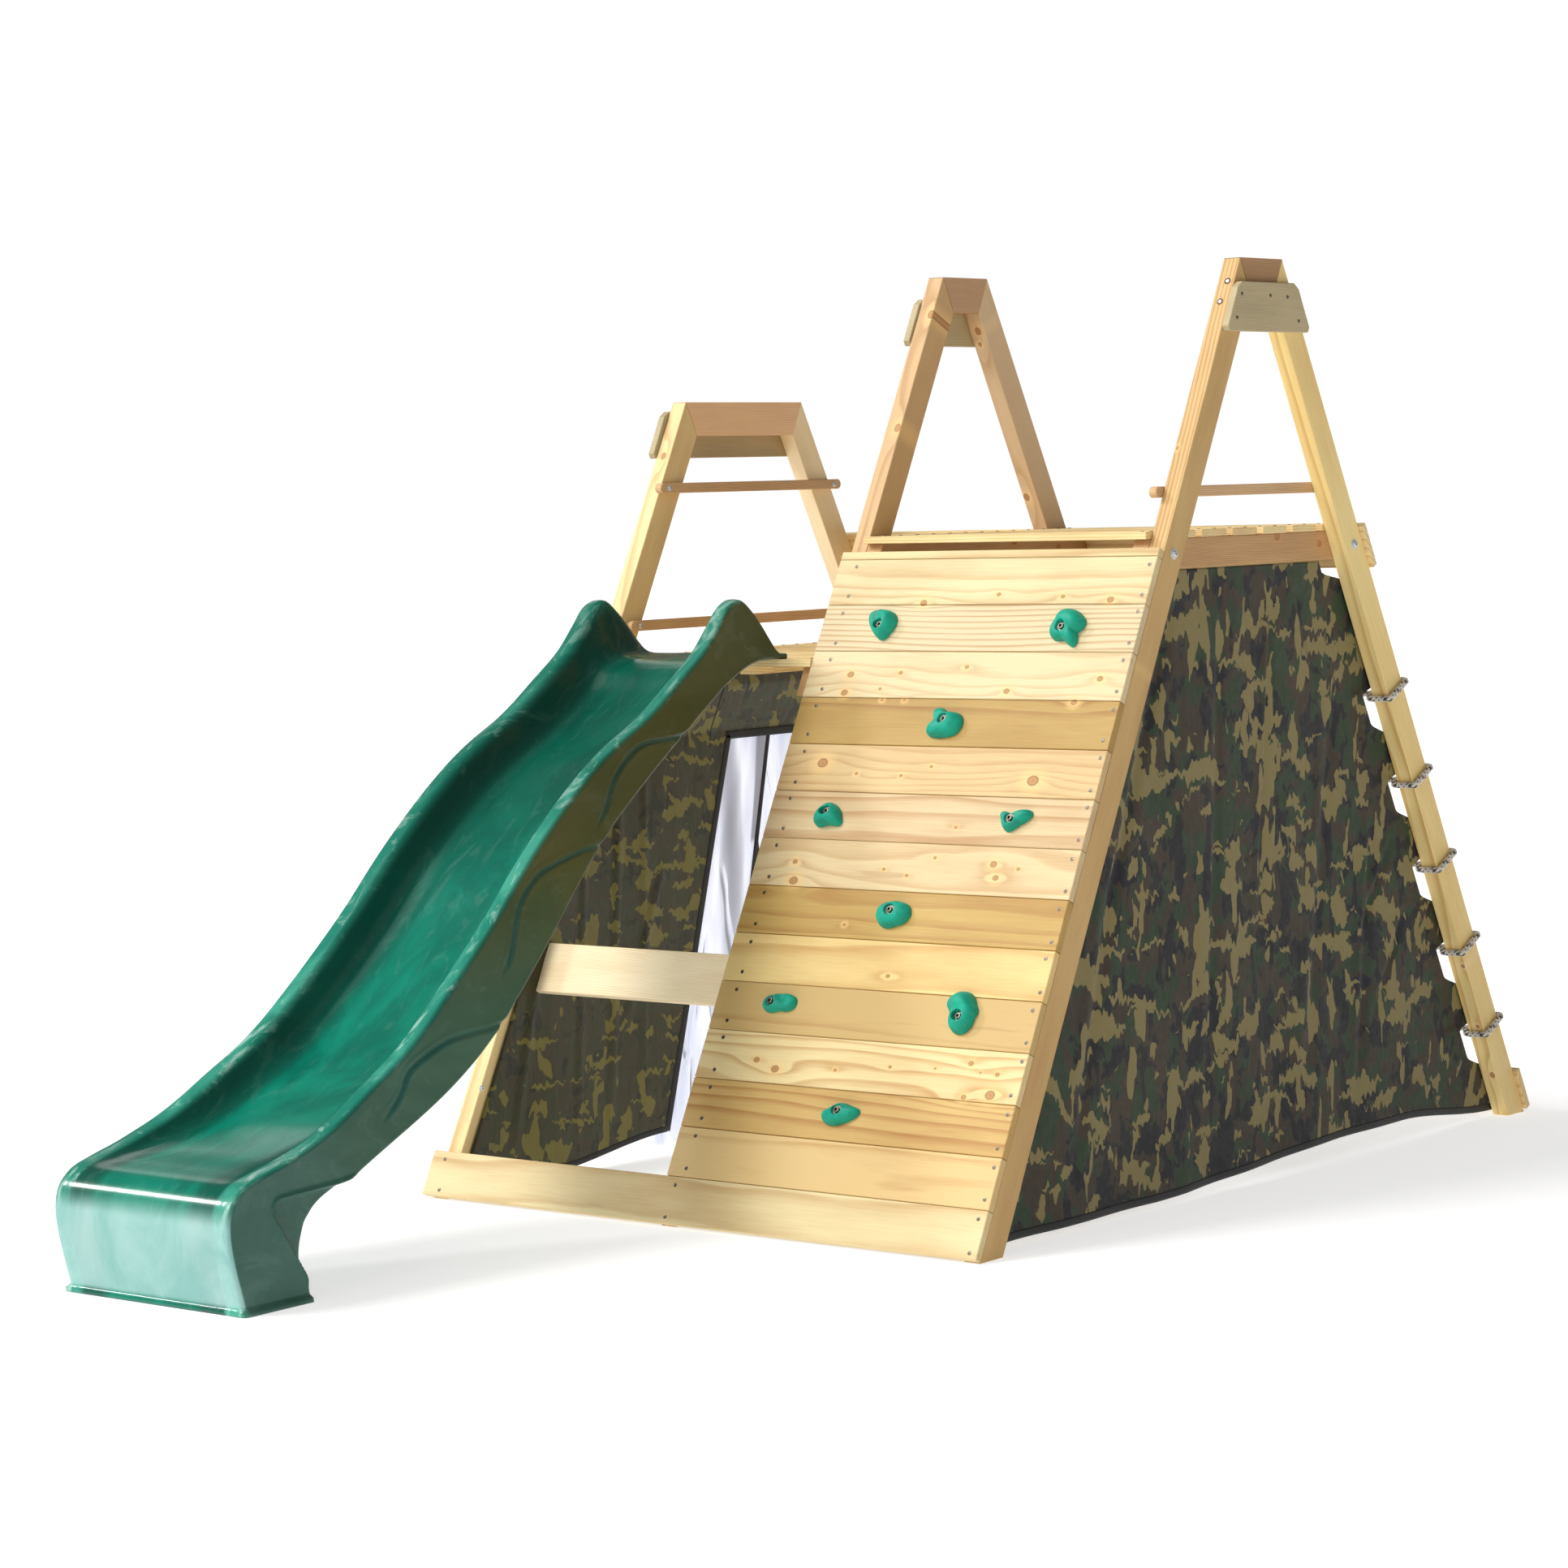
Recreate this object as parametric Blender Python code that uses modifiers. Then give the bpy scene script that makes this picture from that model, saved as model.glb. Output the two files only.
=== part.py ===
"""Garden play frame: three timber A-frames carrying a climbing wall with bolted holds,
two slatted decks, a wavy slide, tarpaulin den walls, door curtains and a rope ladder net.

Metres, +Z up.  The frame of the object is the centre of its footprint on the ground.
Most numbers are given from one corner instead: x = 0 is the outer face of the right
A-frame, y = 0 is the middle of its depth (the slide runs towards -y) and z = 0 the ground.
"""
from math import atan2, cos, exp, pi, radians, sin, tan

import bmesh
import bpy
from mathutils import Matrix, Vector

# ---------------------------------------------------------------- driving dimensions
HEIGHT = 2.040            # top of the two tall A-frames
LEFT_HEIGHT = 1.777       # top of the low A-frame by the slide
HALF_BASE = 1.128         # outer face of a leg at the ground, from the middle
HALF_TOP = 0.086          # the same at the very top
CORNER = (0.760, 0.5945, 0.0)   # where x = y = 0 of the numbers below lies

LEG_WIDTH = 0.042         # along x
LEG_DEPTH = 0.070         # square to the leg, front to back
MIDDLE_X = -0.803         # outer (+x) face of the middle A-frame
LEFT_X = -1.473           # outer (+x) face of the left A-frame
BLOCK_HEIGHT = 0.080      # spacer block between the leg tops

BOARD_PITCH = 0.1122      # climbing wall boards, along the slope
BOARD_THICKNESS = 0.018
BOARD_SEAM = 0.0012
WALL_BOARDS = 13          # above the kick board
WALL_LEFT = -0.853
KICK_LEFT = -1.538
WALL_START = -0.005       # slope distance of the kick board's lower edge
TOP_STRIP = 0.019

SLAT_THICKNESS = 0.0163
SLAT_WIDTH = 0.099
BEAM_WIDTH = 0.042
UPPER_BEAM = (1.372, 1.436)   # lower and upper edge of the beams, above the ground
LOWER_BEAM = (1.103, 1.167)
UPPER_REACH = 0.413       # front edge of the upper deck, from the middle
LOWER_REACH = 0.553

ROPE_RADIUS = 0.0074       # the rings round the legs
STRAND_RADIUS = 0.0068     # the ropes between them
UPRIGHT_RADIUS = 0.0061
NET_ROWS = 5
NET_TOP = 1.045           # height of the top rope where it crosses the leg's inner face
NET_SPACING = 0.208
CLOTH = 0.0015            # thickness of the tarpaulins
CURTAIN = 0.0010
GAP = 0.0003              # clearance between pieces that touch

TILT = atan2(HALF_BASE - HALF_TOP, HEIGHT)
LEAN = tan(TILT)
LEG_SLICE = LEG_DEPTH / cos(TILT)     # leg depth measured level


# ---------------------------------------------------------------- scene set-up
def clear_scene():
    for item in list(bpy.data.objects):
        bpy.data.objects.remove(item, do_unlink=True)


def new_collection(name):
    made = bpy.data.collections.new(name)
    bpy.context.scene.collection.children.link(made)
    return made


def new_material(name, colour, roughness, metallic=0.0):
    made = bpy.data.materials.new(name)
    made.use_nodes = True
    shader = made.node_tree.nodes["Principled BSDF"]
    shader.inputs["Base Color"].default_value = (*colour, 1.0)
    shader.inputs["Roughness"].default_value = roughness
    shader.inputs["Metallic"].default_value = metallic
    return made


clear_scene()
PARTS = new_collection("climbing_play_frame")
CUTTERS = new_collection("cutters")

PALE_PINE = new_material("pale_pine", (0.78, 0.60, 0.33), 0.62)
TAN_PINE = new_material("tan_pine", (0.56, 0.38, 0.20), 0.66)
GREY_PINE = new_material("grey_pine", (0.36, 0.30, 0.18), 0.70)
GREEN_PLASTIC = new_material("green_plastic", (0.01, 0.16, 0.09), 0.32)
HOLD_PLASTIC = new_material("hold_plastic", (0.00, 0.36, 0.25), 0.38)
TARPAULIN = new_material("tarpaulin", (0.05, 0.06, 0.03), 0.55)
NETTING = new_material("netting", (0.80, 0.82, 0.88), 0.80)
ROPE = new_material("rope", (0.55, 0.53, 0.50), 0.85)


def finish(item, name, material, parent):
    """Name an object, give it its material and hang it under its parent empty."""
    item.name = name
    item.data.name = name
    item.data.materials.clear()
    item.data.materials.append(material)
    item.parent = parent
    PARTS.objects.link(item)
    return item


def guide(name, location, rotation=(0.0, 0.0, 0.0), parent=None):
    empty = bpy.data.objects.new(name, None)
    empty.location = location
    empty.rotation_euler = rotation
    empty.parent = parent
    PARTS.objects.link(empty)
    return empty


def mesh_object(name, work, material, parent, smooth=False):
    mesh = bpy.data.meshes.new(name)
    work.to_mesh(mesh)
    work.free()
    if smooth:
        mesh.shade_smooth()
        mesh.set_sharp_from_angle(angle=radians(40))
    return finish(bpy.data.objects.new(name, mesh), name, material, parent)


def ease_edges(item, width):
    weld = item.modifiers.new("weld", "WELD")
    weld.merge_threshold = 0.0001
    bevel = item.modifiers.new("eased_edges", "BEVEL")
    bevel.width = width
    bevel.segments = 1
    bevel.limit_method = "ANGLE"
    bevel.angle_limit = radians(35)


def board(name, low, high, material, parent, eased=0.0015):
    """A box between two corners, with its edges eased."""
    low, high = Vector(low), Vector(high)
    work = bmesh.new()
    bmesh.ops.create_cube(work, size=1.0)
    bmesh.ops.scale(work, vec=high - low, verts=work.verts)
    item = mesh_object(name, work, material, parent)
    item.location = (low + high) / 2
    if eased:
        ease_edges(item, eased)
    return item


def side_plate(name, outline, x_low, x_high, material, parent, eased=0.0015):
    """A flat plate: an outline of (y, z) points, extruded along x."""
    curve = bpy.data.curves.new(name, "CURVE")
    curve.dimensions = "2D"
    curve.fill_mode = "BOTH"
    curve.extrude = (x_high - x_low) / 2
    spline = curve.splines.new("POLY")
    spline.points.add(len(outline) - 1)
    for point, (y, z) in zip(spline.points, outline):
        point.co = (y, z, 0.0, 1.0)
    spline.use_cyclic_u = True
    item = finish(bpy.data.objects.new(name, curve), name, material, parent)
    item.location = ((x_low + x_high) / 2, 0.0, 0.0)
    item.rotation_euler = (pi / 2, 0.0, pi / 2)
    if eased:
        ease_edges(item, eased)
    return item


ORIGIN = guide("play_frame", CORNER)
FRONT = guide("front_slope", (0.0, -HALF_BASE, 0.0), (pi / 2 - TILT, 0.0, 0.0), ORIGIN)
REAR = guide("rear_slope", (0.0, HALF_BASE, 0.0), (pi / 2 - TILT, 0.0, pi), ORIGIN)


# ---------------------------------------------------------------- A-frames
def outer_face(z):
    """Distance of a leg's outer face from the middle at height z."""
    return HALF_BASE - z * LEAN


def inner_face(z):
    return outer_face(z) - LEG_SLICE


def a_frame(tag, x_face, height):
    """Two legs mitred onto a spacer block at the top."""
    x_low = x_face - LEG_WIDTH
    block_low = height - BLOCK_HEIGHT
    for side, word in ((-1, "front"), (1, "back")):
        leg = [(HALF_BASE, 0.0), (HALF_BASE - LEG_SLICE, 0.0),
               (inner_face(block_low), block_low), (outer_face(height), height)]
        side_plate(f"{word}_leg_{tag}", [(side * y, z) for y, z in leg],
                   x_low, x_face, PALE_PINE, ORIGIN)
    top = outer_face(height) - GAP * 1.5
    bottom = inner_face(block_low) - GAP * 1.5
    block = [(-top, height), (-bottom, block_low), (bottom, block_low), (top, height)]
    side_plate(f"top_block_{tag}", block, x_low, x_face, TAN_PINE, ORIGIN, eased=0.0)


def gusset(tag, x_low, z_low, z_high, half_low, half_high):
    """A trapezoid plate screwed over the joint, with clipped corners."""
    clip = 0.012
    lean = (half_low - half_high) / (z_high - z_low)
    half = [(half_low - clip, z_low), (half_low - clip * lean, z_low + clip),
            (half_high + clip * lean, z_high - clip), (half_high - clip, z_high)]
    outline = half + [(-y, z) for y, z in reversed(half)]
    side_plate(f"gusset_{tag}", outline, x_low, x_low + 0.018, GREY_PINE, ORIGIN)


def rung(tag, x_low, z_mid, reach):
    """A flat bar with round ends, laid across both legs."""
    radius = 0.012
    arc = [(reach - radius + radius * cos(a), z_mid + radius * sin(a))
           for a in (radians(d) for d in range(-90, 91, 30))]
    outline = arc + [(-y, z) for y, z in reversed(arc)]
    side_plate(f"rung_{tag}", outline, x_low, x_low + 0.020, TAN_PINE, ORIGIN)


def build_frames():
    a_frame("right", 0.0, HEIGHT)
    a_frame("middle", MIDDLE_X, HEIGHT)
    a_frame("left", LEFT_X, LEFT_HEIGHT)
    gusset("right", GAP, 1.879, 1.987, 0.172, 0.118)
    gusset("middle", MIDDLE_X - LEG_WIDTH - 0.018 - GAP, 1.884, 1.991, 0.172, 0.118)
    gusset("left", LEFT_X - LEG_WIDTH - 0.018 - GAP, 1.645, 1.756, 0.300, 0.245)
    rung("right", -LEG_WIDTH - 0.020 - GAP, 1.536, 0.370)
    rung("left_upper", LEFT_X + GAP, 1.574, 0.345)
    rung("left_lower", LEFT_X + GAP, 1.254, 0.465)


# ---------------------------------------------------------------- boards on the slopes
def build_boards():
    out = GAP + BOARD_THICKNESS

    def front_board(name, x_left, start, end):
        board(name, (x_left, start, GAP), (0.0, end, out), PALE_PINE, FRONT)

    row = WALL_START + BOARD_PITCH
    front_board("kick_board_front", KICK_LEFT, 0.002, row - BOARD_SEAM)
    for number in range(1, WALL_BOARDS + 1):
        front_board(f"wall_board_{number:02d}", WALL_LEFT, row, row + BOARD_PITCH - BOARD_SEAM)
        row += BOARD_PITCH
    front_board("wall_top_strip", WALL_LEFT, row, row + TOP_STRIP)

    # the mid board of the left bay sits behind the middle leg and butts the left tarpaulin
    behind = -LEG_DEPTH - GAP
    board("bay_board", (LEFT_X + 0.0060, 0.526, behind - BOARD_THICKNESS),
          (MIDDLE_X, 0.644, behind), PALE_PINE, FRONT)

    # rear boards stand 10 mm proud of the right frame; local x runs the other way here
    for name, start, end in (("kick_board_rear", 0.008, 0.118), ("deck_board_rear", 1.514, 1.622)):
        board(name, (-0.010, start, GAP), (-KICK_LEFT, end, out), TAN_PINE, REAR)


# ---------------------------------------------------------------- decks
def deck_beam(name, x_low, levels):
    """A beam along the legs' side faces, its ends cut to the slope of the legs."""
    low, high = levels
    outline = [(-outer_face(low), low), (outer_face(low), low),
               (outer_face(high), high), (-outer_face(high), high)]
    side_plate(name, outline, x_low, x_low + BEAM_WIDTH, TAN_PINE, ORIGIN)


def build_upper_deck():
    deck_beam("upper_beam_right", -LEG_WIDTH - BEAM_WIDTH - GAP, UPPER_BEAM)
    deck_beam("upper_beam_middle", MIDDLE_X + GAP, UPPER_BEAM)
    bottom = UPPER_BEAM[1] + GAP
    top = bottom + SLAT_THICKNESS
    x_low, x_high = MIDDLE_X + GAP, -LEG_WIDTH - GAP
    pitch = 0.1244
    centre = -0.2688
    board("upper_slat_1", (x_low, -UPPER_REACH, bottom),
          (x_high, centre - pitch + SLAT_WIDTH / 2, top), PALE_PINE, ORIGIN)
    for number in range(2, 7):
        board(f"upper_slat_{number}", (x_low, centre - SLAT_WIDTH / 2, bottom),
              (x_high, centre + SLAT_WIDTH / 2, top), TAN_PINE, ORIGIN)
        centre += pitch
    board("upper_slat_7", (x_low, centre - SLAT_WIDTH / 2, bottom),
          (x_high, outer_face(top) - GAP, top), TAN_PINE, ORIGIN)


def fuse(body, others):
    """Join closed meshes into one body."""
    for number, other in enumerate(others):
        other.hide_render = True
        other.display_type = "WIRE"
        for owner in list(other.users_collection):
            owner.objects.unlink(other)
        CUTTERS.objects.link(other)
        union = body.modifiers.new(f"union_{number}", "BOOLEAN")
        union.operation = "UNION"
        union.solver = "EXACT"
        union.object = other


def build_lower_deck():
    deck_beam("lower_beam_left", LEFT_X + GAP, LOWER_BEAM)
    deck_beam("lower_beam_middle", MIDDLE_X - LEG_WIDTH - BEAM_WIDTH - GAP, LOWER_BEAM)
    bottom = LOWER_BEAM[1] + GAP
    x_low, x_high = LEFT_X + GAP, WALL_LEFT - GAP
    slats = 9
    pitch = (2 * LOWER_REACH - SLAT_WIDTH) / (slats - 1)
    pieces = []
    for number in range(slats):
        y = -LOWER_REACH + number * pitch
        pieces.append(board(f"deck_slat_{number}", (x_low, y, bottom),
                            (x_high, y + SLAT_WIDTH, bottom + SLAT_THICKNESS),
                            PALE_PINE, ORIGIN, eased=0.0))
    for number, share in enumerate((0.33, 0.67)):
        x = x_low + share * (x_high - x_low)
        pieces.append(board(f"deck_batten_{number}",
                            (x - 0.022, -LOWER_REACH + 0.03, bottom - 0.020),
                            (x + 0.022, LOWER_REACH - 0.03, bottom + 0.004),
                            PALE_PINE, ORIGIN, eased=0.0))
    deck = pieces[0]
    deck.name = "lower_deck"
    fuse(deck, pieces[1:])


# ---------------------------------------------------------------- slide
# Stations down the slide: rim (y, z), underside (y, z), depth of the trough.
SLIDE_STATIONS = (
    (-0.527, 1.196, -0.527, 1.184, 0.000),
    (-0.551, 1.199, -0.556, 1.184, 0.002),
    (-0.580, 1.230, -0.590, 1.184, 0.035),
    (-0.612, 1.267, -0.622, 1.182, 0.072),
    (-0.649, 1.303, -0.655, 1.174, 0.110),
    (-0.684, 1.323, -0.690, 1.160, 0.132),
    (-0.725, 1.309, -0.722, 1.144, 0.130),
    (-0.760, 1.271, -0.750, 1.128, 0.110),
    (-0.816, 1.214, -0.790, 1.101, 0.098),
    (-0.898, 1.156, -0.845, 1.064, 0.090),
    (-1.010, 1.081, -0.932, 1.005, 0.087),
    (-1.148, 1.010, -1.048, 0.922, 0.086),
    (-1.275, 0.920, -1.158, 0.834, 0.086),
    (-1.413, 0.800, -1.270, 0.720, 0.086),
    (-1.517, 0.694, -1.367, 0.613, 0.086),
    (-1.683, 0.548, -1.520, 0.465, 0.086),
    (-1.801, 0.455, -1.640, 0.382, 0.084),
    (-1.918, 0.392, -1.760, 0.321, 0.078),
    (-2.023, 0.333, -1.880, 0.270, 0.062),
    (-2.132, 0.292, -1.985, 0.224, 0.038),
    (-2.230, 0.267, -2.058, 0.193, 0.014),
    (-2.300, 0.250, -2.090, 0.168, 0.000),
    (-2.329, 0.218, -2.107, 0.143, 0.000),
    (-2.318, 0.135, -2.120, 0.087, 0.000),
    (-2.289, 0.000, -2.107, 0.000, 0.000),
)
SLIDE_X = (LEFT_X + MIDDLE_X - LEG_WIDTH) / 2
SLIDE_HALF_WIDTH = 0.219      # along the upper chute
SLIDE_FLARE = 0.033           # how much wider each side is at the foot
# One side of the section: distance in from the outer face, share of the trough depth.
SLIDE_SECTION = ((0.007, 0.0), (0.038, 0.0), (0.047, 0.12), (0.062, 0.62),
                 (0.078, 0.90), (0.105, 1.0))


def share_between(low, high, value):
    return min(max((value - low) / (high - low), 0.0), 1.0)


def slide_half_width(z):
    return SLIDE_HALF_WIDTH + SLIDE_FLARE * exp(-max(z - 0.30, 0.0) / 0.25)


def slide_section(rim_y, rim_z, under_y, under_z, depth):
    rim = Vector((0.0, rim_y, rim_z))
    under = Vector((0.0, under_y, under_z))
    down = (under - rim).normalized()
    half = slide_half_width(rim_z)
    thick = 1.0 - 0.25 * share_between(1.00, 1.25, rim_z)     # the side walls thin out upwards
    shoulder = min(0.008, (under - rim).length * 0.4)
    side = [under + Vector((half, 0, 0)), rim + down * shoulder + Vector((half, 0, 0))]
    side += [rim + down * (share * depth) + Vector((half - inset * thick, 0, 0))
             for inset, share in SLIDE_SECTION]
    return side + [Vector((-p.x, p.y, p.z)) for p in reversed(side)]


def build_slide():
    """A loft through the stations: raised round rims, a trough and a boxed foot."""
    work = bmesh.new()
    rings = []
    for station in SLIDE_STATIONS:
        rings.append([work.verts.new(p) for p in slide_section(*station)])
    count = len(rings[0])
    for upper, lower in zip(rings, rings[1:]):
        for k in range(count):
            j = (k + 1) % count
            work.faces.new((upper[k], upper[j], lower[j], lower[k]))
    work.faces.new(rings[0])
    work.faces.new(reversed(rings[-1]))
    bmesh.ops.recalc_face_normals(work, faces=work.faces)
    slide = mesh_object("slide", work, GREEN_PLASTIC, ORIGIN, smooth=True)
    slide.location = (SLIDE_X, 0.0, 0.0)


# ---------------------------------------------------------------- rope net
def rope_piece(name, points, radius, parent, closed=False):
    """A rope along straight runs between points, made a closed mesh."""
    curve = bpy.data.curves.new(name, "CURVE")
    curve.dimensions = "3D"
    curve.bevel_depth = radius
    curve.bevel_resolution = 2
    curve.use_fill_caps = not closed
    spline = curve.splines.new("POLY")
    spline.points.add(len(points) - 1)
    for point, place in zip(spline.points, points):
        point.co = (*place, 1.0)
    spline.use_cyclic_u = closed
    soft = bpy.data.objects.new(name, curve)
    PARTS.objects.link(soft)
    graph = bpy.context.evaluated_depsgraph_get()
    mesh = bpy.data.meshes.new_from_object(soft.evaluated_get(graph))
    bpy.data.objects.remove(soft, do_unlink=True)
    work = bmesh.new()
    work.from_mesh(mesh)
    bmesh.ops.remove_doubles(work, verts=work.verts, dist=0.00005)
    bmesh.ops.recalc_face_normals(work, faces=work.faces)
    bpy.data.meshes.remove(mesh)
    return mesh_object(name, work, ROPE, parent, smooth=True)


def leg_ring(x_face, s):
    """Points round a back leg, square to it, in the rear slope's own axes."""
    reach = ROPE_RADIUS + 0.0008
    left, right = -x_face - reach, -x_face + LEG_WIDTH + reach
    front, back = -LEG_DEPTH - reach, reach
    cut = 0.004
    return [(left + cut, s, front), (right - cut, s, front), (right, s, front + cut),
            (right, s, back - cut), (right - cut, s, back), (left + cut, s, back),
            (left, s, back - cut), (left, s, front + cut)]


def build_net():
    """Five ropes tied round both back legs, joined by three upright ropes."""
    inner = LEG_DEPTH + ROPE_RADIUS
    depth = -0.054
    strand_start = -MIDDLE_X - ROPE_RADIUS
    strand_end = LEG_WIDTH + ROPE_RADIUS
    levels = [((NET_TOP - row * NET_SPACING) + inner * sin(TILT)) / cos(TILT)
              for row in range(NET_ROWS)]
    ropes = []
    for share in (0.25, 0.50, 0.75):
        x = strand_end + share * (strand_start - strand_end)
        ends = [(x, s, depth - 0.0023) for s in (levels[-1], levels[0])]
        ropes.append(rope_piece("net_upright", ends, UPRIGHT_RADIUS, REAR))
    for s in levels:
        ends = [(strand_start, s + 0.0004, depth), (strand_end, s + 0.0004, depth)]
        ropes.append(rope_piece("net_strand", ends, STRAND_RADIUS, REAR))
        for x_face in (0.0, MIDDLE_X):
            ropes.append(rope_piece("net_ring", leg_ring(x_face, s), ROPE_RADIUS, REAR, closed=True))
    net = ropes[0]
    net.name = "cargo_net"
    fuse(net, ropes[1:])


# ---------------------------------------------------------------- tarpaulins
def net_notches():
    """Rear edge of the right tarpaulin, bottom to top, cut back at each rope."""
    cover, bite = 0.030, -0.037
    edge = [(inner_face(0.012) + cover, 0.012)]
    for row in reversed(range(NET_ROWS)):
        z = NET_TOP - row * NET_SPACING
        for dz, reach in ((-0.092, cover), (-0.084, -0.012), (-0.062, bite),
                          (0.006, bite), (0.034, -0.002), (0.034, cover)):
            edge.append((inner_face(z + dz) + reach, z + dz))
    return edge


def build_right_tarpaulin():
    top = UPPER_BEAM[0] - 0.003
    corner = [(inner_face(top - 0.045) + 0.030, top - 0.045),
              (inner_face(top - 0.045) - 0.030, top - 0.042),
              (inner_face(top) - 0.062, top - 0.018), (inner_face(top) - 0.072, top)]
    front = [(-inner_face(top) - 0.030, top), (-inner_face(0.012) - 0.030, 0.012)]
    x = -LEG_WIDTH - 0.0030
    side_plate("tarpaulin_right", net_notches() + corner + front,
               x - CLOTH, x, TARPAULIN, ORIGIN, eased=0.0)


DOOR_SILL = 0.008
DOOR_HEAD = 0.975


def door_edge(z, side):
    """Front (-1) or rear (1) edge of the doorway: it narrows upwards."""
    return 0.036 + side * (0.424 - 0.296 * (z - DOOR_SILL))


def build_left_tarpaulin():
    """Covers the left frame's inner side, hung over the beam and open at the door."""
    bottom = 0.012
    shelf = 1.160
    x = LEFT_X + 0.0030
    cover = 0.052
    outline = [(-inner_face(bottom) - cover, bottom), (door_edge(bottom, -1), bottom),
               (door_edge(DOOR_HEAD, -1), DOOR_HEAD), (door_edge(DOOR_HEAD, 1), DOOR_HEAD),
               (door_edge(bottom, 1), bottom), (inner_face(bottom) + cover, bottom),
               (inner_face(shelf) + cover, shelf), (-inner_face(shelf) - cover, shelf)]
    flat = side_plate("tarpaulin_left", outline, x, x + CLOTH, TARPAULIN, ORIGIN, eased=0.0)
    graph = bpy.context.evaluated_depsgraph_get()
    mesh = bpy.data.meshes.new_from_object(flat.evaluated_get(graph))
    place = flat.matrix_local.copy()
    bpy.data.objects.remove(flat, do_unlink=True)
    work = bmesh.new()
    work.from_mesh(mesh)
    bpy.data.meshes.remove(mesh)
    bmesh.ops.remove_doubles(work, verts=work.verts, dist=0.0001)
    work.transform(place)
    fold, beam_edge = 0.990, LOWER_BEAM[0] - 0.006
    for z in (fold, beam_edge):
        geometry = work.verts[:] + work.edges[:] + work.faces[:]
        bmesh.ops.bisect_plane(work, geom=geometry, plane_co=(0, 0, z), plane_no=(0, 0, 1))
    for vert in work.verts:
        vert.co.x += BEAM_WIDTH * share_between(fold, beam_edge, vert.co.z)
    bmesh.ops.recalc_face_normals(work, faces=work.faces)
    mesh_object("tarpaulin_left", work, TARPAULIN, ORIGIN)


def build_curtains():
    """Two netting curtains behind the doorway that cross near its head."""
    for name, side, x, head_y, mid_y, foot_y in (
            ("curtain_front", -1, LEFT_X + 0.0018, 0.076, 0.029, -0.139),
            ("curtain_rear", 1, LEFT_X + 0.0004, 0.003, 0.029, 0.120)):
        bottom, head, cross = 0.014, 0.985, 0.770
        lap = side * 0.020
        outline = [(door_edge(bottom, side) + lap, bottom), (foot_y, bottom), (mid_y, cross),
                   (head_y, head), (door_edge(head, side) + lap, head)]
        side_plate(name, outline, x - CURTAIN, x, NETTING, ORIGIN, eased=0.0)


# ---------------------------------------------------------------- climbing holds
# Name, x, row on the wall, turn, half length, half width, height, waves (times round, size, turn).
HOLDS = (
    ("hold_wedge", -0.676, 12.58, 180, 0.038, 0.036, 0.034, ((3, 0.10, 90),)),
    ("hold_mitten", -0.176, 12.52, 200, 0.038, 0.033, 0.036, ((2, 0.10, 40), (3, 0.10, 20))),
    ("hold_trefoil", -0.440, 10.54, 30, 0.036, 0.034, 0.032, ((3, 0.16, 0),)),
    ("hold_shelf", -0.684, 8.53, 10, 0.037, 0.029, 0.040, ((1, 0.05, 90), (2, 0.05, 0))),
    ("hold_bean", -0.178, 8.60, 35, 0.043, 0.023, 0.034, ((2, 0.08, 60), (1, 0.12, 140))),
    ("hold_pebble", -0.437, 6.60, 60, 0.035, 0.032, 0.034, ((2, 0.04, 10),)),
    ("hold_saddle", -0.678, 4.66, 5, 0.041, 0.025, 0.036, ((2, 0.10, 0),)),
    ("hold_waist", -0.189, 4.70, 92, 0.045, 0.028, 0.036, ((2, 0.16, 0),)),
    ("hold_leaf", -0.438, 2.52, 10, 0.042, 0.029, 0.032, ((1, 0.10, 0), (3, 0.06, 0))),
)


def hold(name, x, row, turn, half_long, half_wide, height, waves):
    """A rounded blob with a flat back: a ball whose outline follows a few waves."""
    work = bmesh.new()
    bmesh.ops.create_uvsphere(work, u_segments=16, v_segments=8, radius=1.0)
    for vert in work.verts:
        angle = atan2(vert.co.y, vert.co.x)
        swell = 1.0 + sum(size * cos(times * angle - radians(lean)) for times, size, lean in waves)
        vert.co.x *= half_long * swell
        vert.co.y *= half_wide * swell
        vert.co.z = height * max(vert.co.z, 0.0) ** 0.7
    work.transform(Matrix.Rotation(radians(turn), 4, "Z"))
    item = mesh_object(name, work, HOLD_PLASTIC, FRONT, smooth=True)
    item.location = (x, WALL_START + row * BOARD_PITCH, BOARD_THICKNESS + 2 * GAP)


def build_holds():
    for entry in HOLDS:
        hold(*entry)


build_frames()
build_boards()
build_upper_deck()
build_lower_deck()
build_slide()
build_net()
build_right_tarpaulin()
build_left_tarpaulin()
build_curtains()
build_holds()
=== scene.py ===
"""Looks for the garden climbing frame: timber, moulded slide, cloth den, rope net, holds, fixings."""
import random
from math import atan2, cos, hypot, pi, radians, sin, tan

import bmesh
import bpy
import numpy as np
from mathutils import Matrix, Vector


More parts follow.
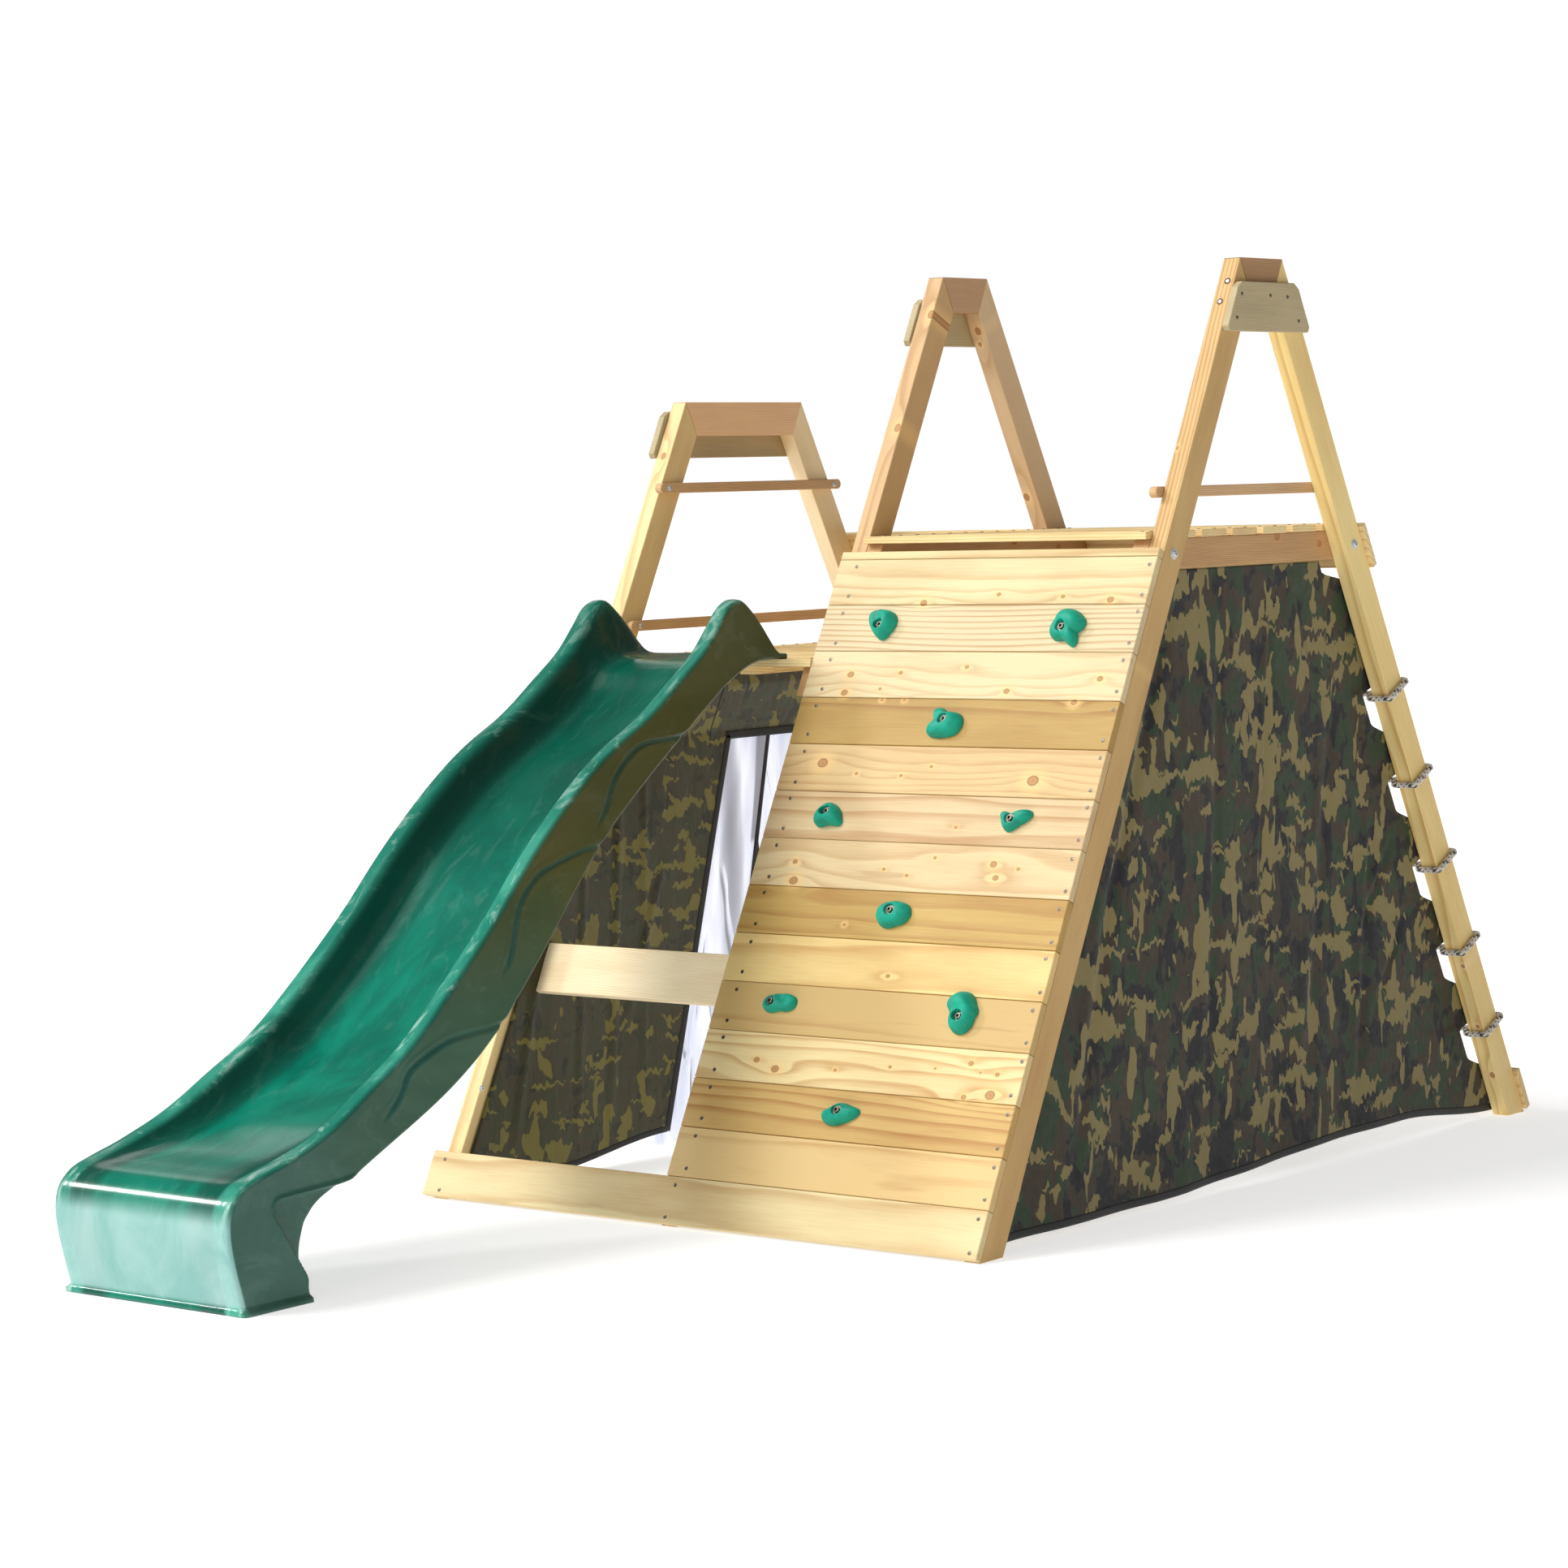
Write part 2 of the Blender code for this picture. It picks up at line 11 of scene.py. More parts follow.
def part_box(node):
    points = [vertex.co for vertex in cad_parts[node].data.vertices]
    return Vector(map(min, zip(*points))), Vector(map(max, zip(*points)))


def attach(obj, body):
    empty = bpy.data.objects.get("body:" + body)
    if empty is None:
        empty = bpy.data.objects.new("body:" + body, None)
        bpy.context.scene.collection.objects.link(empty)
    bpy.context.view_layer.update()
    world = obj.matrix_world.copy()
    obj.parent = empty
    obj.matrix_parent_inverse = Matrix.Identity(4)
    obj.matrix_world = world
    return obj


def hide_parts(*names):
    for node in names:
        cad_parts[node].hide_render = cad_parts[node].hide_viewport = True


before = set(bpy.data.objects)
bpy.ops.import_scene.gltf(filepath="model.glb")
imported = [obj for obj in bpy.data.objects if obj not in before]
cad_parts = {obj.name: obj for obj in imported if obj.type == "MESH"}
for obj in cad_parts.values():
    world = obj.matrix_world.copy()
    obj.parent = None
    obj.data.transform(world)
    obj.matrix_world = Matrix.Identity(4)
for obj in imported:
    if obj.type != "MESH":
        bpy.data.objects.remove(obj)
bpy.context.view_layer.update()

# ---- the frame's own measures
BASE = (0.760, 0.5945)        # x, y of the corner that the numbers below start from
HEIGHT, HALF_BASE, HALF_TOP = 2.040, 1.128, 0.086
LEG_WIDTH, LEG_DEPTH = 0.042, 0.070
MIDDLE_X, LEFT_X = -0.803, -1.473
BOARD_PITCH, BOARD_THICKNESS, WALL_START = 0.1122, 0.018, -0.005
TILT = atan2(HALF_BASE - HALF_TOP, HEIGHT)
LEAN = tan(TILT)
LEG_SLICE = LEG_DEPTH / cos(TILT)
UP_FRONT = Vector((0, sin(TILT), cos(TILT)))      # up the climbing wall
OUT_FRONT = Vector((0, -cos(TILT), sin(TILT)))    # square out of it
UP_REAR = Vector((0, -sin(TILT), cos(TILT)))
OUT_REAR = Vector((0, cos(TILT), sin(TILT)))
X_AXIS, Y_AXIS, Z_AXIS = Vector((1, 0, 0)), Vector((0, 1, 0)), Vector((0, 0, 1))
RIGHT_LEG, MIDDLE_LEG, LEFT_LEG = (BASE[0] + x - LEG_WIDTH / 2 for x in (0, MIDDLE_X, LEFT_X))
scene = bpy.context.scene
made = bpy.data.collections.new("looks")
scene.collection.children.link(made)


def srgb(r, g, b, a=1.0):
    """Screen colour 0 to 255 as linear light."""
    def one(c):
        c /= 255.0
        return c / 12.92 if c <= 0.04045 else ((c + 0.055) / 1.055) ** 2.4
    return (one(r), one(g), one(b), a)


def outer_face(z):
    return HALF_BASE - z * LEAN


def inner_face(z):
    return outer_face(z) - LEG_SLICE


def smooth(low, high, v):
    t = np.clip((np.asarray(v, dtype=float) - low) / (high - low), 0.0, 1.0)
    return t * t * (3 - 2 * t)


def from_corner(points, lift=0.0):
    """Points measured from the corner, in the row frame."""
    return [(x + BASE[0], y + BASE[1], z + lift) for x, y, z in points]


def tube_faces(rows, cols, closed=False):
    """Quads between rings of cols points; closed joins the last ring to the first."""
    return [(r * cols + c, r * cols + (c + 1) % cols, (r + 1) % rows * cols + (c + 1) % cols,
             (r + 1) % rows * cols + c) for r in range(rows - (not closed)) for c in range(cols)]


def end_faces(rows, cols):
    return [tuple(range(cols))[::-1], tuple(range((rows - 1) * cols, rows * cols))]


def on_front(x, s, out=BOARD_THICKNESS):
    """A point on the climbing wall: x in the row frame, s up the slope."""
    return Vector((x, BASE[1] - HALF_BASE, 0)) + UP_FRONT * s + OUT_FRONT * out


def on_rear(x, s, out=0.0):
    return Vector((x, BASE[1] + HALF_BASE, 0)) + UP_REAR * s + OUT_REAR * out


# ---- node graphs
class Graph:
    """A material's nodes, with short calls for the maths."""

    def __init__(self, name):
        self.material = bpy.data.materials.new(name)
        self.material.use_nodes = True
        self.tree = self.material.node_tree
        self.tree.nodes.clear()
        self.shader = self.new("ShaderNodeBsdfPrincipled")
        self.surface = self.new("ShaderNodeOutputMaterial").inputs[0]
        self.put(self.surface, self.shader.outputs[0])
        self.place = self.new("ShaderNodeTexCoord").outputs["Object"]

    def new(self, kind, **settings):
        node = self.tree.nodes.new(kind)
        for key, value in settings.items():
            setattr(node, key, value)
        return node

    def call(self, kind, output, sockets, **settings):
        """A new node with its sockets filled, by name or number. Returns the named output."""
        node = self.new(kind, **settings)
        for key, value in sockets.items():
            self.put(node.inputs[key], value)
        return node.outputs[output]

    def put(self, socket, value):
        if isinstance(value, bpy.types.NodeSocket):
            self.tree.links.new(value, socket)
        elif value is not None:
            socket.default_value = value

    def maths(self, operation, a, b=None, c=None):
        return self.call("ShaderNodeMath", 0, dict(enumerate((a, b, c))), operation=operation)

    def add(self, a, b):
        return self.maths("ADD", a, b)

    def times(self, a, b):
        return self.maths("MULTIPLY", a, b)

    def dot(self, vector, direction):
        return self.call("ShaderNodeVectorMath", "Value", {0: vector, 1: direction},
                         operation="DOT_PRODUCT")

    def vector(self, x, y, z):
        return self.call("ShaderNodeCombineXYZ", 0, {0: x, 1: y, 2: z})

    def noise(self, vector, scale, detail=2.0, rough=0.5, distortion=0.0):
        return self.call("ShaderNodeTexNoise", "Fac", {
            "Vector": vector, "Scale": scale, "Detail": detail, "Roughness": rough,
            "Distortion": distortion})

    def scaled(self, vector, factors, shift=(0, 0, 0), turn=(0, 0, 0)):
        return self.call("ShaderNodeMapping", 0, {"Vector": vector, "Scale": factors, "Location": shift,
                                                  "Rotation": turn})

    def wave(self, vector, direction, sockets):
        return self.call("ShaderNodeTexWave", "Fac", {"Vector": vector, **sockets},
                         wave_type="BANDS", bands_direction=direction)

    def ramp(self, value, *stops):
        node = self.new("ShaderNodeValToRGB")
        while len(node.color_ramp.elements) < len(stops):
            node.color_ramp.elements.new(0.5)
        for element, (place, level) in zip(node.color_ramp.elements, stops):
            element.position = place
            element.color = level if hasattr(level, "__len__") else (level, level, level, 1)
        self.put(node.inputs[0], value)
        return node.outputs[0]

    def range(self, value, a, b, c=0.0, d=1.0):
        return self.call("ShaderNodeMapRange", 0, dict(enumerate((value, a, b, c, d))),
                         interpolation_type="SMOOTHSTEP")

    def mix(self, share, a, b, blend="MIX"):
        return self.call("ShaderNodeMix", 2, {0: share, 6: a, 7: b}, data_type="RGBA", blend_type=blend)

    def attribute(self, name):
        node = self.new("ShaderNodeAttribute", attribute_name=name)
        split = self.new("ShaderNodeSeparateColor")
        self.put(split.inputs[0], node.outputs["Color"])
        return (*split.outputs, node.outputs["Alpha"])

    def bump(self, height, distance, strength=1.0, under=None):
        return self.call("ShaderNodeBump", 0, {"Distance": distance, "Strength": strength,
                                               "Height": height, "Normal": under})

    def done(self, colour, roughness, normal=None, **fixed):
        self.put(self.shader.inputs["Base Color"], colour)
        self.put(self.shader.inputs["Roughness"], roughness)
        self.put(self.shader.inputs["Normal"], normal)
        for name, value in fixed.items():
            self.shader.inputs[name.replace("_", " ")].default_value = value
        return self.material


def knot_group():
    """Push on the growth rings and darkness of one knot at (Along, Across) with a Radius."""
    group = bpy.data.node_groups.new("knot", "ShaderNodeTree")
    for name in ("A", "B", "Along", "Across", "Radius"):
        group.interface.new_socket(name, in_out="INPUT", socket_type="NodeSocketFloat")
    for name in ("Push", "Mask", "Reach"):
        group.interface.new_socket(name, in_out="OUTPUT", socket_type="NodeSocketFloat")
    start = group.nodes.new("NodeGroupInput")
    end = group.nodes.new("NodeGroupOutput")

    def maths(operation, *values):
        node = group.nodes.new("ShaderNodeMath")
        node.operation = operation
        for socket, value in zip(node.inputs, values):
            if isinstance(value, bpy.types.NodeSocket):
                group.links.new(value, socket)
            else:
                socket.default_value = value
        return node.outputs[0]

    da = maths("DIVIDE", maths("SUBTRACT", start.outputs[0], start.outputs[2]), start.outputs[4])
    db = maths("DIVIDE", maths("SUBTRACT", start.outputs[1], start.outputs[3]), start.outputs[4])
    wide = maths("MULTIPLY", da, 0.80)
    far = maths("SQRT", maths("ADD", maths("MULTIPLY", wide, wide), maths("MULTIPLY", db, db)))
    stretched = maths("MULTIPLY", da, 0.30)
    halo = maths("SQRT", maths("ADD", maths("MULTIPLY", stretched, stretched),
                               maths("MULTIPLY", db, db)))
    group.links.new(maths("EXPONENT", maths("MULTIPLY", halo, -0.62)), end.inputs[0])
    group.links.new(maths("SUBTRACT", 1.0, maths("SMOOTH_MIN", far, 1.0, 0.15)), end.inputs[1])
    group.links.new(far, end.inputs[2])
    return group


KNOT = knot_group()


def wood(name, along, across, out, light, dark, cell=None, knots=(), rings=(120, 260), figure=1.0,
         rough=0.58, tones=(), straight=None):
    """Sawn pine: growth rings of a log cut along the board, fibres, knots that bend the rings.

    along, across and out are the board's directions. cell (axis, start, pitch) tells boards of one
    look apart, tones multiplies them in that order, and straight is the one cut on the quarter."""
    g = Graph(name)
    a, b, c = (g.dot(g.place, v) for v in (along, across, out))
    if cell:
        key, start, pitch = cell
        q = {"b": b, "c": c, "a": a}[key]
        index = g.maths("FLOOR", g.times(g.add(q, -start), 1.0 / pitch))
    else:
        index = 3.0
    pick = g.call("ShaderNodeTexWhiteNoise", "Color", {"W": index}, noise_dimensions="1D")
    r1, r2, r3 = g.call("ShaderNodeSeparateColor", 0, {0: pick}).node.outputs
    local = g.add(b, g.times(g.add(g.times(g.add(index, 0.5), cell[2]), cell[1]), -1.0)) \
        if cell and cell[0] == "b" else b
    moved = g.vector(g.add(a, g.times(r1, 31.0)), b, g.add(c, g.times(r2, 3.0)))
    warp = g.noise(g.scaled(moved, (1.4, 9.0, 9.0)), 1.0, 2.0)
    slow = g.noise(g.scaled(moved, (0.9, 1.0, 1.0)), 1.0, 1.0)
    centre = g.add(g.times(g.add(r3, -0.5), 0.16), g.times(g.add(slow, -0.5), 0.10))
    if straight is not None:      # one board cut on the quarter: close straight lines
        centre = g.add(centre, g.times(g.maths("COMPARE", index, float(straight), 0.1), 0.30))
    side = g.add(local, centre)
    deep = g.add(c, g.add(g.times(r1, 0.03), 0.030)) if not cell or cell[0] != "c" else 0.035
    radius = g.maths("SQRT", g.add(g.times(side, side), g.times(deep, deep)))
    count = g.call("ShaderNodeMapRange", 0, dict(enumerate((r2, 0.0, 1.0, *rings))))
    field = g.add(g.times(radius, count), g.times(warp, 1.6))
    mask, near = 0.0, 9.0
    for ka, kb, kr in knots:
        knot = g.new("ShaderNodeGroup", node_tree=KNOT)
        for socket, value in zip(knot.inputs, (a, b, ka, kb, kr)):
            g.put(socket, value)
        field = g.add(field, g.times(knot.outputs["Push"], min(4.0, 180 * kr)))
        mask = g.maths("MAXIMUM", mask, knot.outputs["Mask"])
        near = g.maths("MINIMUM", near, knot.outputs["Reach"])
    ring = g.ramp(g.maths("FRACT", field), (0.0, 0.0), (0.50, 0.10), (0.86, 1.0), (0.94, 0.75),
                  (1.0, 0.0))
    fibre = g.noise(g.scaled(moved, (9.0, 420.0, 420.0)), 1.0, 3.0, 0.6)
    patch = g.noise(g.scaled(moved, (2.6, 11.0, 11.0)), 1.0, 3.0, 0.55)
    strength = g.add(0.37 * figure, g.times(r3, 0.27 * figure))
    if straight is not None:
        strength = g.add(strength, g.times(g.maths("COMPARE", index, float(straight), 0.1), 0.40))
    share = g.add(g.times(ring, strength), g.times(g.add(fibre, -0.5), 0.50))
    share = g.add(share, g.times(g.add(patch, -0.45), 0.95))
    share = g.add(share, g.times(g.add(r1, -0.5), 0.35))
    colour = g.mix(g.maths("MINIMUM", g.maths("MAXIMUM", share, 0.0), 1.0), light, dark)
    if tones:
        stops = [((k + 0.02) / len(tones), (*tone, 1)) for k, tone in enumerate(tones)]
        ramp = g.ramp(g.times(g.add(index, 0.5), 1.0 / len(tones)), *stops)
        ramp.node.color_ramp.interpolation = "CONSTANT"
        colour = g.mix(1.0, colour, ramp, "MULTIPLY")
    blush = tuple(v * f for v, f in zip(light[:3], (0.98, 0.80, 0.62))) + (1,)
    colour = g.mix(g.range(near, 3.2, 0.8, 0.0, 0.55), colour, blush)
    knot_tone = g.mix(g.ramp(near, (0.0, 0.75), (0.14, 0.30), (0.58, 0.12), (0.80, 1.0), (1.0, 0.55)),
                      srgb(192, 136, 78), srgb(116, 72, 36))
    colour = g.mix(g.range(mask, 0.01, 0.25, 0.0, 0.85), colour, knot_tone)
    speck = g.noise(g.scaled(moved, (3.0, 34.0, 34.0)), 1.0, 2.0, 0.5)
    colour = g.mix(g.range(speck, 0.70, 0.78, 0.0, 0.28), colour, srgb(150, 100, 52))
    height = g.add(g.times(ring, 0.5), g.times(fibre, 0.8))
    roughness = g.add(rough, g.times(g.add(fibre, -0.5), 0.25))
    return g.done(colour, roughness, g.bump(height, 0.0005, 0.55), Specular_IOR_Level=0.42)


rng = random.Random(11)


def strewn(count, along, places, radii=(0.004, 0.011)):
    """Knots thrown at random: along a range, across at the given places."""
    found = []
    for _ in range(count):
        where = rng.choice(places)
        found.append((rng.uniform(*along), rng.uniform(*where), rng.uniform(*radii)))
    return found


# ---- mesh helpers
def finish_mesh(name, verts, faces, material, soft=True, attribute=None):
    mesh = bpy.data.meshes.new(name)
    mesh.from_pydata([tuple(map(float, v)) for v in verts], [], [tuple(map(int, f)) for f in faces])
    mesh.update()
    if attribute is not None:
        layer = mesh.color_attributes.new("zone", "FLOAT_COLOR", "POINT")
        data = np.ones((len(verts), 4))
        data[:, :attribute.shape[1]] = attribute
        layer.data.foreach_set("color", data.ravel())
    mesh.materials.append(material)
    item = bpy.data.objects.new(name, mesh)
    made.objects.link(item)
    if soft:
        mesh.polygons.foreach_set("use_smooth", [True] * len(mesh.polygons))
    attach(item, "root")
    return item


def outward(item):
    work = bmesh.new()
    work.from_mesh(item.data)
    bmesh.ops.recalc_face_normals(work, faces=work.faces)
    work.to_mesh(item.data)
    work.free()
    return item


def speckled(name, grain, light, dark, rough, depth=0.0, **fixed):
    """A plain look clouded with a second tone. grain: the noise's scale, detail and roughness."""
    g = Graph(name)
    tone = g.noise(g.place, *grain)
    relief = g.bump(tone, depth, 0.5) if depth else None
    return g.done(g.mix(tone, light, dark), g.range(tone, 0.3, 0.7, *rough), relief, **fixed)


class Build:
    """Collects many small solids into one mesh."""

    def __init__(self):
        self.verts, self.faces = [], []

    def add(self, verts, faces):
        base = len(self.verts)
        self.verts += [tuple(v) for v in verts]
        self.faces += [tuple(base + i for i in f) for f in faces]

    def lathe(self, centre, normal, profile, sides=20, turn=0.0, recess=None):
        """A turned solid on an axis. profile runs from the foot outwards and up to the middle.
        recess is (corners, outer radius, inner radius, depth): a driver socket in the top."""
        normal = Vector(normal).normalized()
        u = normal.orthogonal().normalized()
        w = normal.cross(u)

        def point(r, h, angle):
            return Vector(centre) + normal * h + (u * cos(angle) + w * sin(angle)) * r

        verts, faces = [point(0, profile[0][1], 0)], []
        rows = [(step, False) for step in profile]
        if recess:
            corners, outer, inner, depth = recess
            top = profile[-1][1]
            rows += [((0, top), True), ((0, top - depth), True)]
        for (r, h), star in rows:
            for k in range(sides):
                angle = 2 * pi * k / sides
                radius = r
                if star:
                    radius = inner + (outer - inner) * (0.5 + 0.5 * cos(corners * angle)) ** 1.5
                verts.append(point(radius, h, angle + turn))
        for row in range(len(rows) - 1):
            for k in range(sides):
                a, b = 1 + row * sides + k, 1 + row * sides + (k + 1) % sides
                faces.append((a, b, b + sides, a + sides))
        for k in range(sides):
            faces.append((0, 1 + (k + 1) % sides, 1 + k))
        last = 1 + (len(rows) - 1) * sides
        faces.append(tuple(range(last, last + sides)))
        self.add(verts, faces)

    def item(self, name, material, slot=None, soft=False):
        made_item = outward(finish_mesh(name, self.verts, self.faces, material, soft))
        if soft:
            made_item.data.set_sharp_from_angle(angle=radians(35))
        return made_item


def thick_sheet(name, points, faces, material, thickness, attribute=None):
    """A cloth sheet with its two faces and its rim."""
    item = finish_mesh(name, points, faces, material, True, attribute)
    solid = item.modifiers.new("cloth", "SOLIDIFY")
    solid.thickness = thickness
    solid.offset = 0.0
    return item


BAND_SECTION = ((-1, -0.7), (-0.6, -1), (0.6, -1), (1, -0.7), (1, 0.7), (0.6, 1), (-0.6, 1), (-1, 0.7))


def ribbon(name, path, across, half, thickness, material):
    """A folded binding band that follows path; across is the direction of its width."""
    path = [Vector(p) for p in path]
    verts = []
    for i, p in enumerate(path):
        ahead = (path[min(i + 1, len(path) - 1)] - path[max(i - 1, 0)]).normalized()
        wide = (across - ahead * across.dot(ahead)).normalized()
        up = ahead.cross(wide)
        for du, dv in BAND_SECTION:
            verts.append(p + wide * du * half + up * dv * thickness / 2)
    faces = tube_faces(len(path), len(BAND_SECTION)) + end_faces(len(path), len(BAND_SECTION))
    return outward(finish_mesh(name, verts, faces, material))


# ---- camera, light, floor
YAW, PITCH, ROLL = 0.67884, -0.07231, -0.02737
ahead = Vector((-sin(YAW) * cos(PITCH), cos(YAW) * cos(PITCH), sin(PITCH)))
level = ahead.cross(Z_AXIS).normalized()
upward = level.cross(ahead)
right = level * cos(ROLL) + upward * sin(ROLL)
upward = upward * cos(ROLL) - level * sin(ROLL)
lens = bpy.data.cameras.new("camera")
lens.sensor_width, lens.lens, lens.clip_end = 36.0, 93.14, 200.0
camera = bpy.data.objects.new("camera", lens)
scene.collection.objects.link(camera)
spot = Vector((5.5368, -7.0413, 1.5624))
camera.matrix_world = Matrix([(right[i], upward[i], -ahead[i], spot[i]) for i in range(3)]
                             + [(0, 0, 0, 1)])
scene.camera = camera
scene.view_settings.view_transform = "Standard"

world = bpy.data.worlds.new("studio")
scene.world = world
world.use_nodes = True
# White where the camera looks past the object, and a weak white light all round.
nodes, links = world.node_tree.nodes, world.node_tree.links
back, seen = nodes["Background"], nodes.new("ShaderNodeBackground")
for node, strength in ((back, 0.14), (seen, 1.02)):
    node.inputs["Color"].default_value = (1.0, 1.0, 1.0, 1)
    node.inputs["Strength"].default_value = strength
blend = nodes.new("ShaderNodeMixShader")
links.new(nodes.new("ShaderNodeLightPath").outputs["Is Camera Ray"], blend.inputs[0])
links.new(back.outputs[0], blend.inputs[1])
links.new(seen.outputs[0], blend.inputs[2])
links.new(blend.outputs[0], nodes["World Output"].inputs[0])


def sun(name, towards, strength, spread, tint=(1, 1, 1)):
    light = bpy.data.lights.new(name, "SUN")
    light.energy, light.angle, light.color = strength, radians(spread), tint
    item = bpy.data.objects.new(name, light)
    item.rotation_euler = Vector(towards).to_track_quat("-Z", "Y").to_euler()
    scene.collection.objects.link(item)


sun("key", (0.46, 0.70, -0.85), 1.95, 22, (1.0, 0.985, 0.955))
sun("soft", (0.15, 0.75, -0.60), 1.15, 80, (1.0, 0.985, 0.955))
sun("fill", (-0.80, 0.30, -0.40), 0.14, 50, (1.0, 0.99, 0.97))
sun("kicker", (0.667, -0.558, -0.484), 0.05, 14)
sun("glint", (0.733, 0.342, -0.589), 0.95, 8)
den_light = bpy.data.lights.new("den_light", "AREA")     # daylight inside the den
den_light.energy, den_light.size = 1.5, 0.6
den_lamp = bpy.data.objects.new("den_light", den_light)
den_lamp.location = (BASE[0] - 0.70, BASE[1] - 0.05, 0.48)
den_lamp.rotation_euler = Vector((-1, 0, 0)).to_track_quat("-Z", "Y").to_euler()
scene.collection.objects.link(den_lamp)

floor_graph = Graph("floor")
tone = floor_graph.noise(floor_graph.place, 0.6, 2.0)
floor_look = floor_graph.done(floor_graph.mix(tone, (0.54, 0.54, 0.54, 1), (0.56, 0.56, 0.56, 1)), 0.9,
                              Emission_Color=(1, 1, 1, 1), Emission_Strength=0.64,
                              Specular_IOR_Level=0.1)
bpy.ops.mesh.primitive_plane_add(size=120.0, location=(0, 0, -0.0006))
floor = bpy.context.object
floor.name = "floor"
floor.data.materials.append(floor_look)

# ---- timber
PINE, PINE_DARK = srgb(244, 225, 168), srgb(200, 154, 90)
WARM, WARM_DARK = srgb(244, 220, 162), srgb(198, 150, 90)
TAN, TAN_DARK = srgb(208, 164, 112), srgb(150, 104, 62)
BROWN, BROWN_DARK = srgb(250, 208, 162), srgb(206, 158, 112)
CREAM, CREAM_DARK = srgb(255, 240, 202), srgb(220, 180, 124)
GREY, GREY_DARK = srgb(190, 173, 134), srgb(134, 118, 82)

# What each board's colour is multiplied by, from the kick board up.
BOARD_TONES = (
    (0.87, 0.86, 0.90), (0.79, 0.67, 0.56), (0.70, 0.57, 0.38), (0.92, 0.90, 0.89),
    (0.65, 0.53, 0.39), (0.89, 0.80, 0.63), (0.62, 0.50, 0.28), (0.81, 0.77, 0.83),
    (0.76, 0.70, 0.76), (0.76, 0.66, 0.61), (0.53, 0.41, 0.22), (0.82, 0.80, 0.89),
    (0.76, 0.75, 0.87), (0.84, 0.86, 0.93), (0.81, 0.79, 0.79))
# Knots on the climbing wall: x, height up the slope, radius.
WALL_KNOTS = (
    (0.174, 1.457, 0.0070), (0.372, 1.477, 0.0044), (0.543, 1.471, 0.0044), (0.668, 1.463, 0.0070),
    (0.027, 1.284, 0.0070), (0.023, 1.240, 0.0070), (0.164, 1.289, 0.0044), (0.339, 1.304, 0.0044),
    (0.461, 1.248, 0.0061), (0.119, 1.250, 0.0035), (0.133, 1.224, 0.0035), (0.195, 1.224, 0.0035),
    (0.643, 1.224, 0.0061), (0.694, 1.279, 0.0061), (0.018, 1.071, 0.0105), (0.119, 1.048, 0.0035),
    (0.241, 1.046, 0.0035), (0.316, 1.069, 0.0035), (0.591, 1.043, 0.0114), (0.424, 0.931, 0.0035),
    (0.018, 0.837, 0.0053), (0.028, 0.793, 0.0088), (0.264, 0.829, 0.0035), (0.329, 0.817, 0.0035),
    (0.391, 0.860, 0.0035), (0.547, 0.851, 0.0070), (0.561, 0.821, 0.0061), (0.613, 0.843, 0.0035),
    (0.199, 0.698, 0.0035), (0.351, 0.589, 0.0044), (0.064, 0.381, 0.0061), (0.120, 0.364, 0.0079),
    (0.280, 0.373, 0.0035), (0.420, 0.390, 0.0035), (0.536, 0.395, 0.0026), (0.623, 0.412, 0.0053),
    (0.652, 0.394, 0.0026), (0.695, 0.393, 0.0044), (0.690, 0.348, 0.0096), (0.626, 0.339, 0.0053))


def paint(look, *starts):
    for name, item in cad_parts.items():
        if any(name.startswith(start) for start in starts):
            item.data.materials.clear()
            item.data.materials.append(look)


slope_start = (Vector((0, BASE[1] - HALF_BASE, 0))).dot(UP_FRONT)
rear_start = (Vector((0, BASE[1] + HALF_BASE, 0))).dot(UP_REAR)
wall_knots = [(x, s + slope_start, 1.18 * r) for x, s, r in WALL_KNOTS]
paint(wood("wall_pine", X_AXIS, UP_FRONT, OUT_FRONT, PINE, PINE_DARK,
           ("b", slope_start + WALL_START, BOARD_PITCH), wall_knots, (150, 330), 1.0,
           0.58, BOARD_TONES, 12), "wall_", "kick_board_front")
paint(wood("bay_pine", X_AXIS, UP_FRONT, OUT_FRONT, CREAM, CREAM_DARK, None, (), (300, 300), 0.6),
      "bay_board")
leg_span = [(x - 0.016, x + 0.016) for x in (RIGHT_LEG, MIDDLE_LEG, LEFT_LEG)]
# The legs lie in cells 0.65 m wide: left, middle, right.
paint(wood("front_leg_pine", UP_FRONT, X_AXIS, OUT_FRONT, WARM, WARM_DARK, ("b", -1.0, 0.65),
           strewn(11, (slope_start, slope_start + 2.2), leg_span), (220, 340), 1.0, 0.58,
           ((1.0, 1.0, 0.98), (0.70, 0.585, 0.55), (0.76, 0.66, 0.53))), "front_leg")
paint(wood("back_leg_pine", UP_REAR, X_AXIS, OUT_REAR, CREAM, CREAM_DARK, ("b", -1.0, 0.65),
           strewn(14, (rear_start, rear_start + 2.2), leg_span, (0.005, 0.012)), (200, 320),
           1.0, 0.58, ((1.0, 0.95, 0.88), (0.71, 0.60, 0.54), (1.0, 0.93, 0.62))), "back_leg")
paint(wood("rear_board_pine", X_AXIS, UP_REAR, OUT_REAR, WARM, WARM_DARK, None,
           strewn(7, (-0.7, 0.7), [(rear_start, rear_start + 0.11),
                                   (rear_start + 1.5, rear_start + 1.62)]), (95, 95), 0.75),
      "kick_board_rear", "deck_board_rear")
paint(wood("deck_pine", X_AXIS, Y_AXIS, Z_AXIS, WARM, WARM_DARK, ("b", BASE[1] - 0.4554, 0.1244),
           strewn(14, (-0.7, 0.7), [(BASE[1] - 0.5, BASE[1] + 0.5)]), (120, 260)), "upper_slat", "lower_deck")
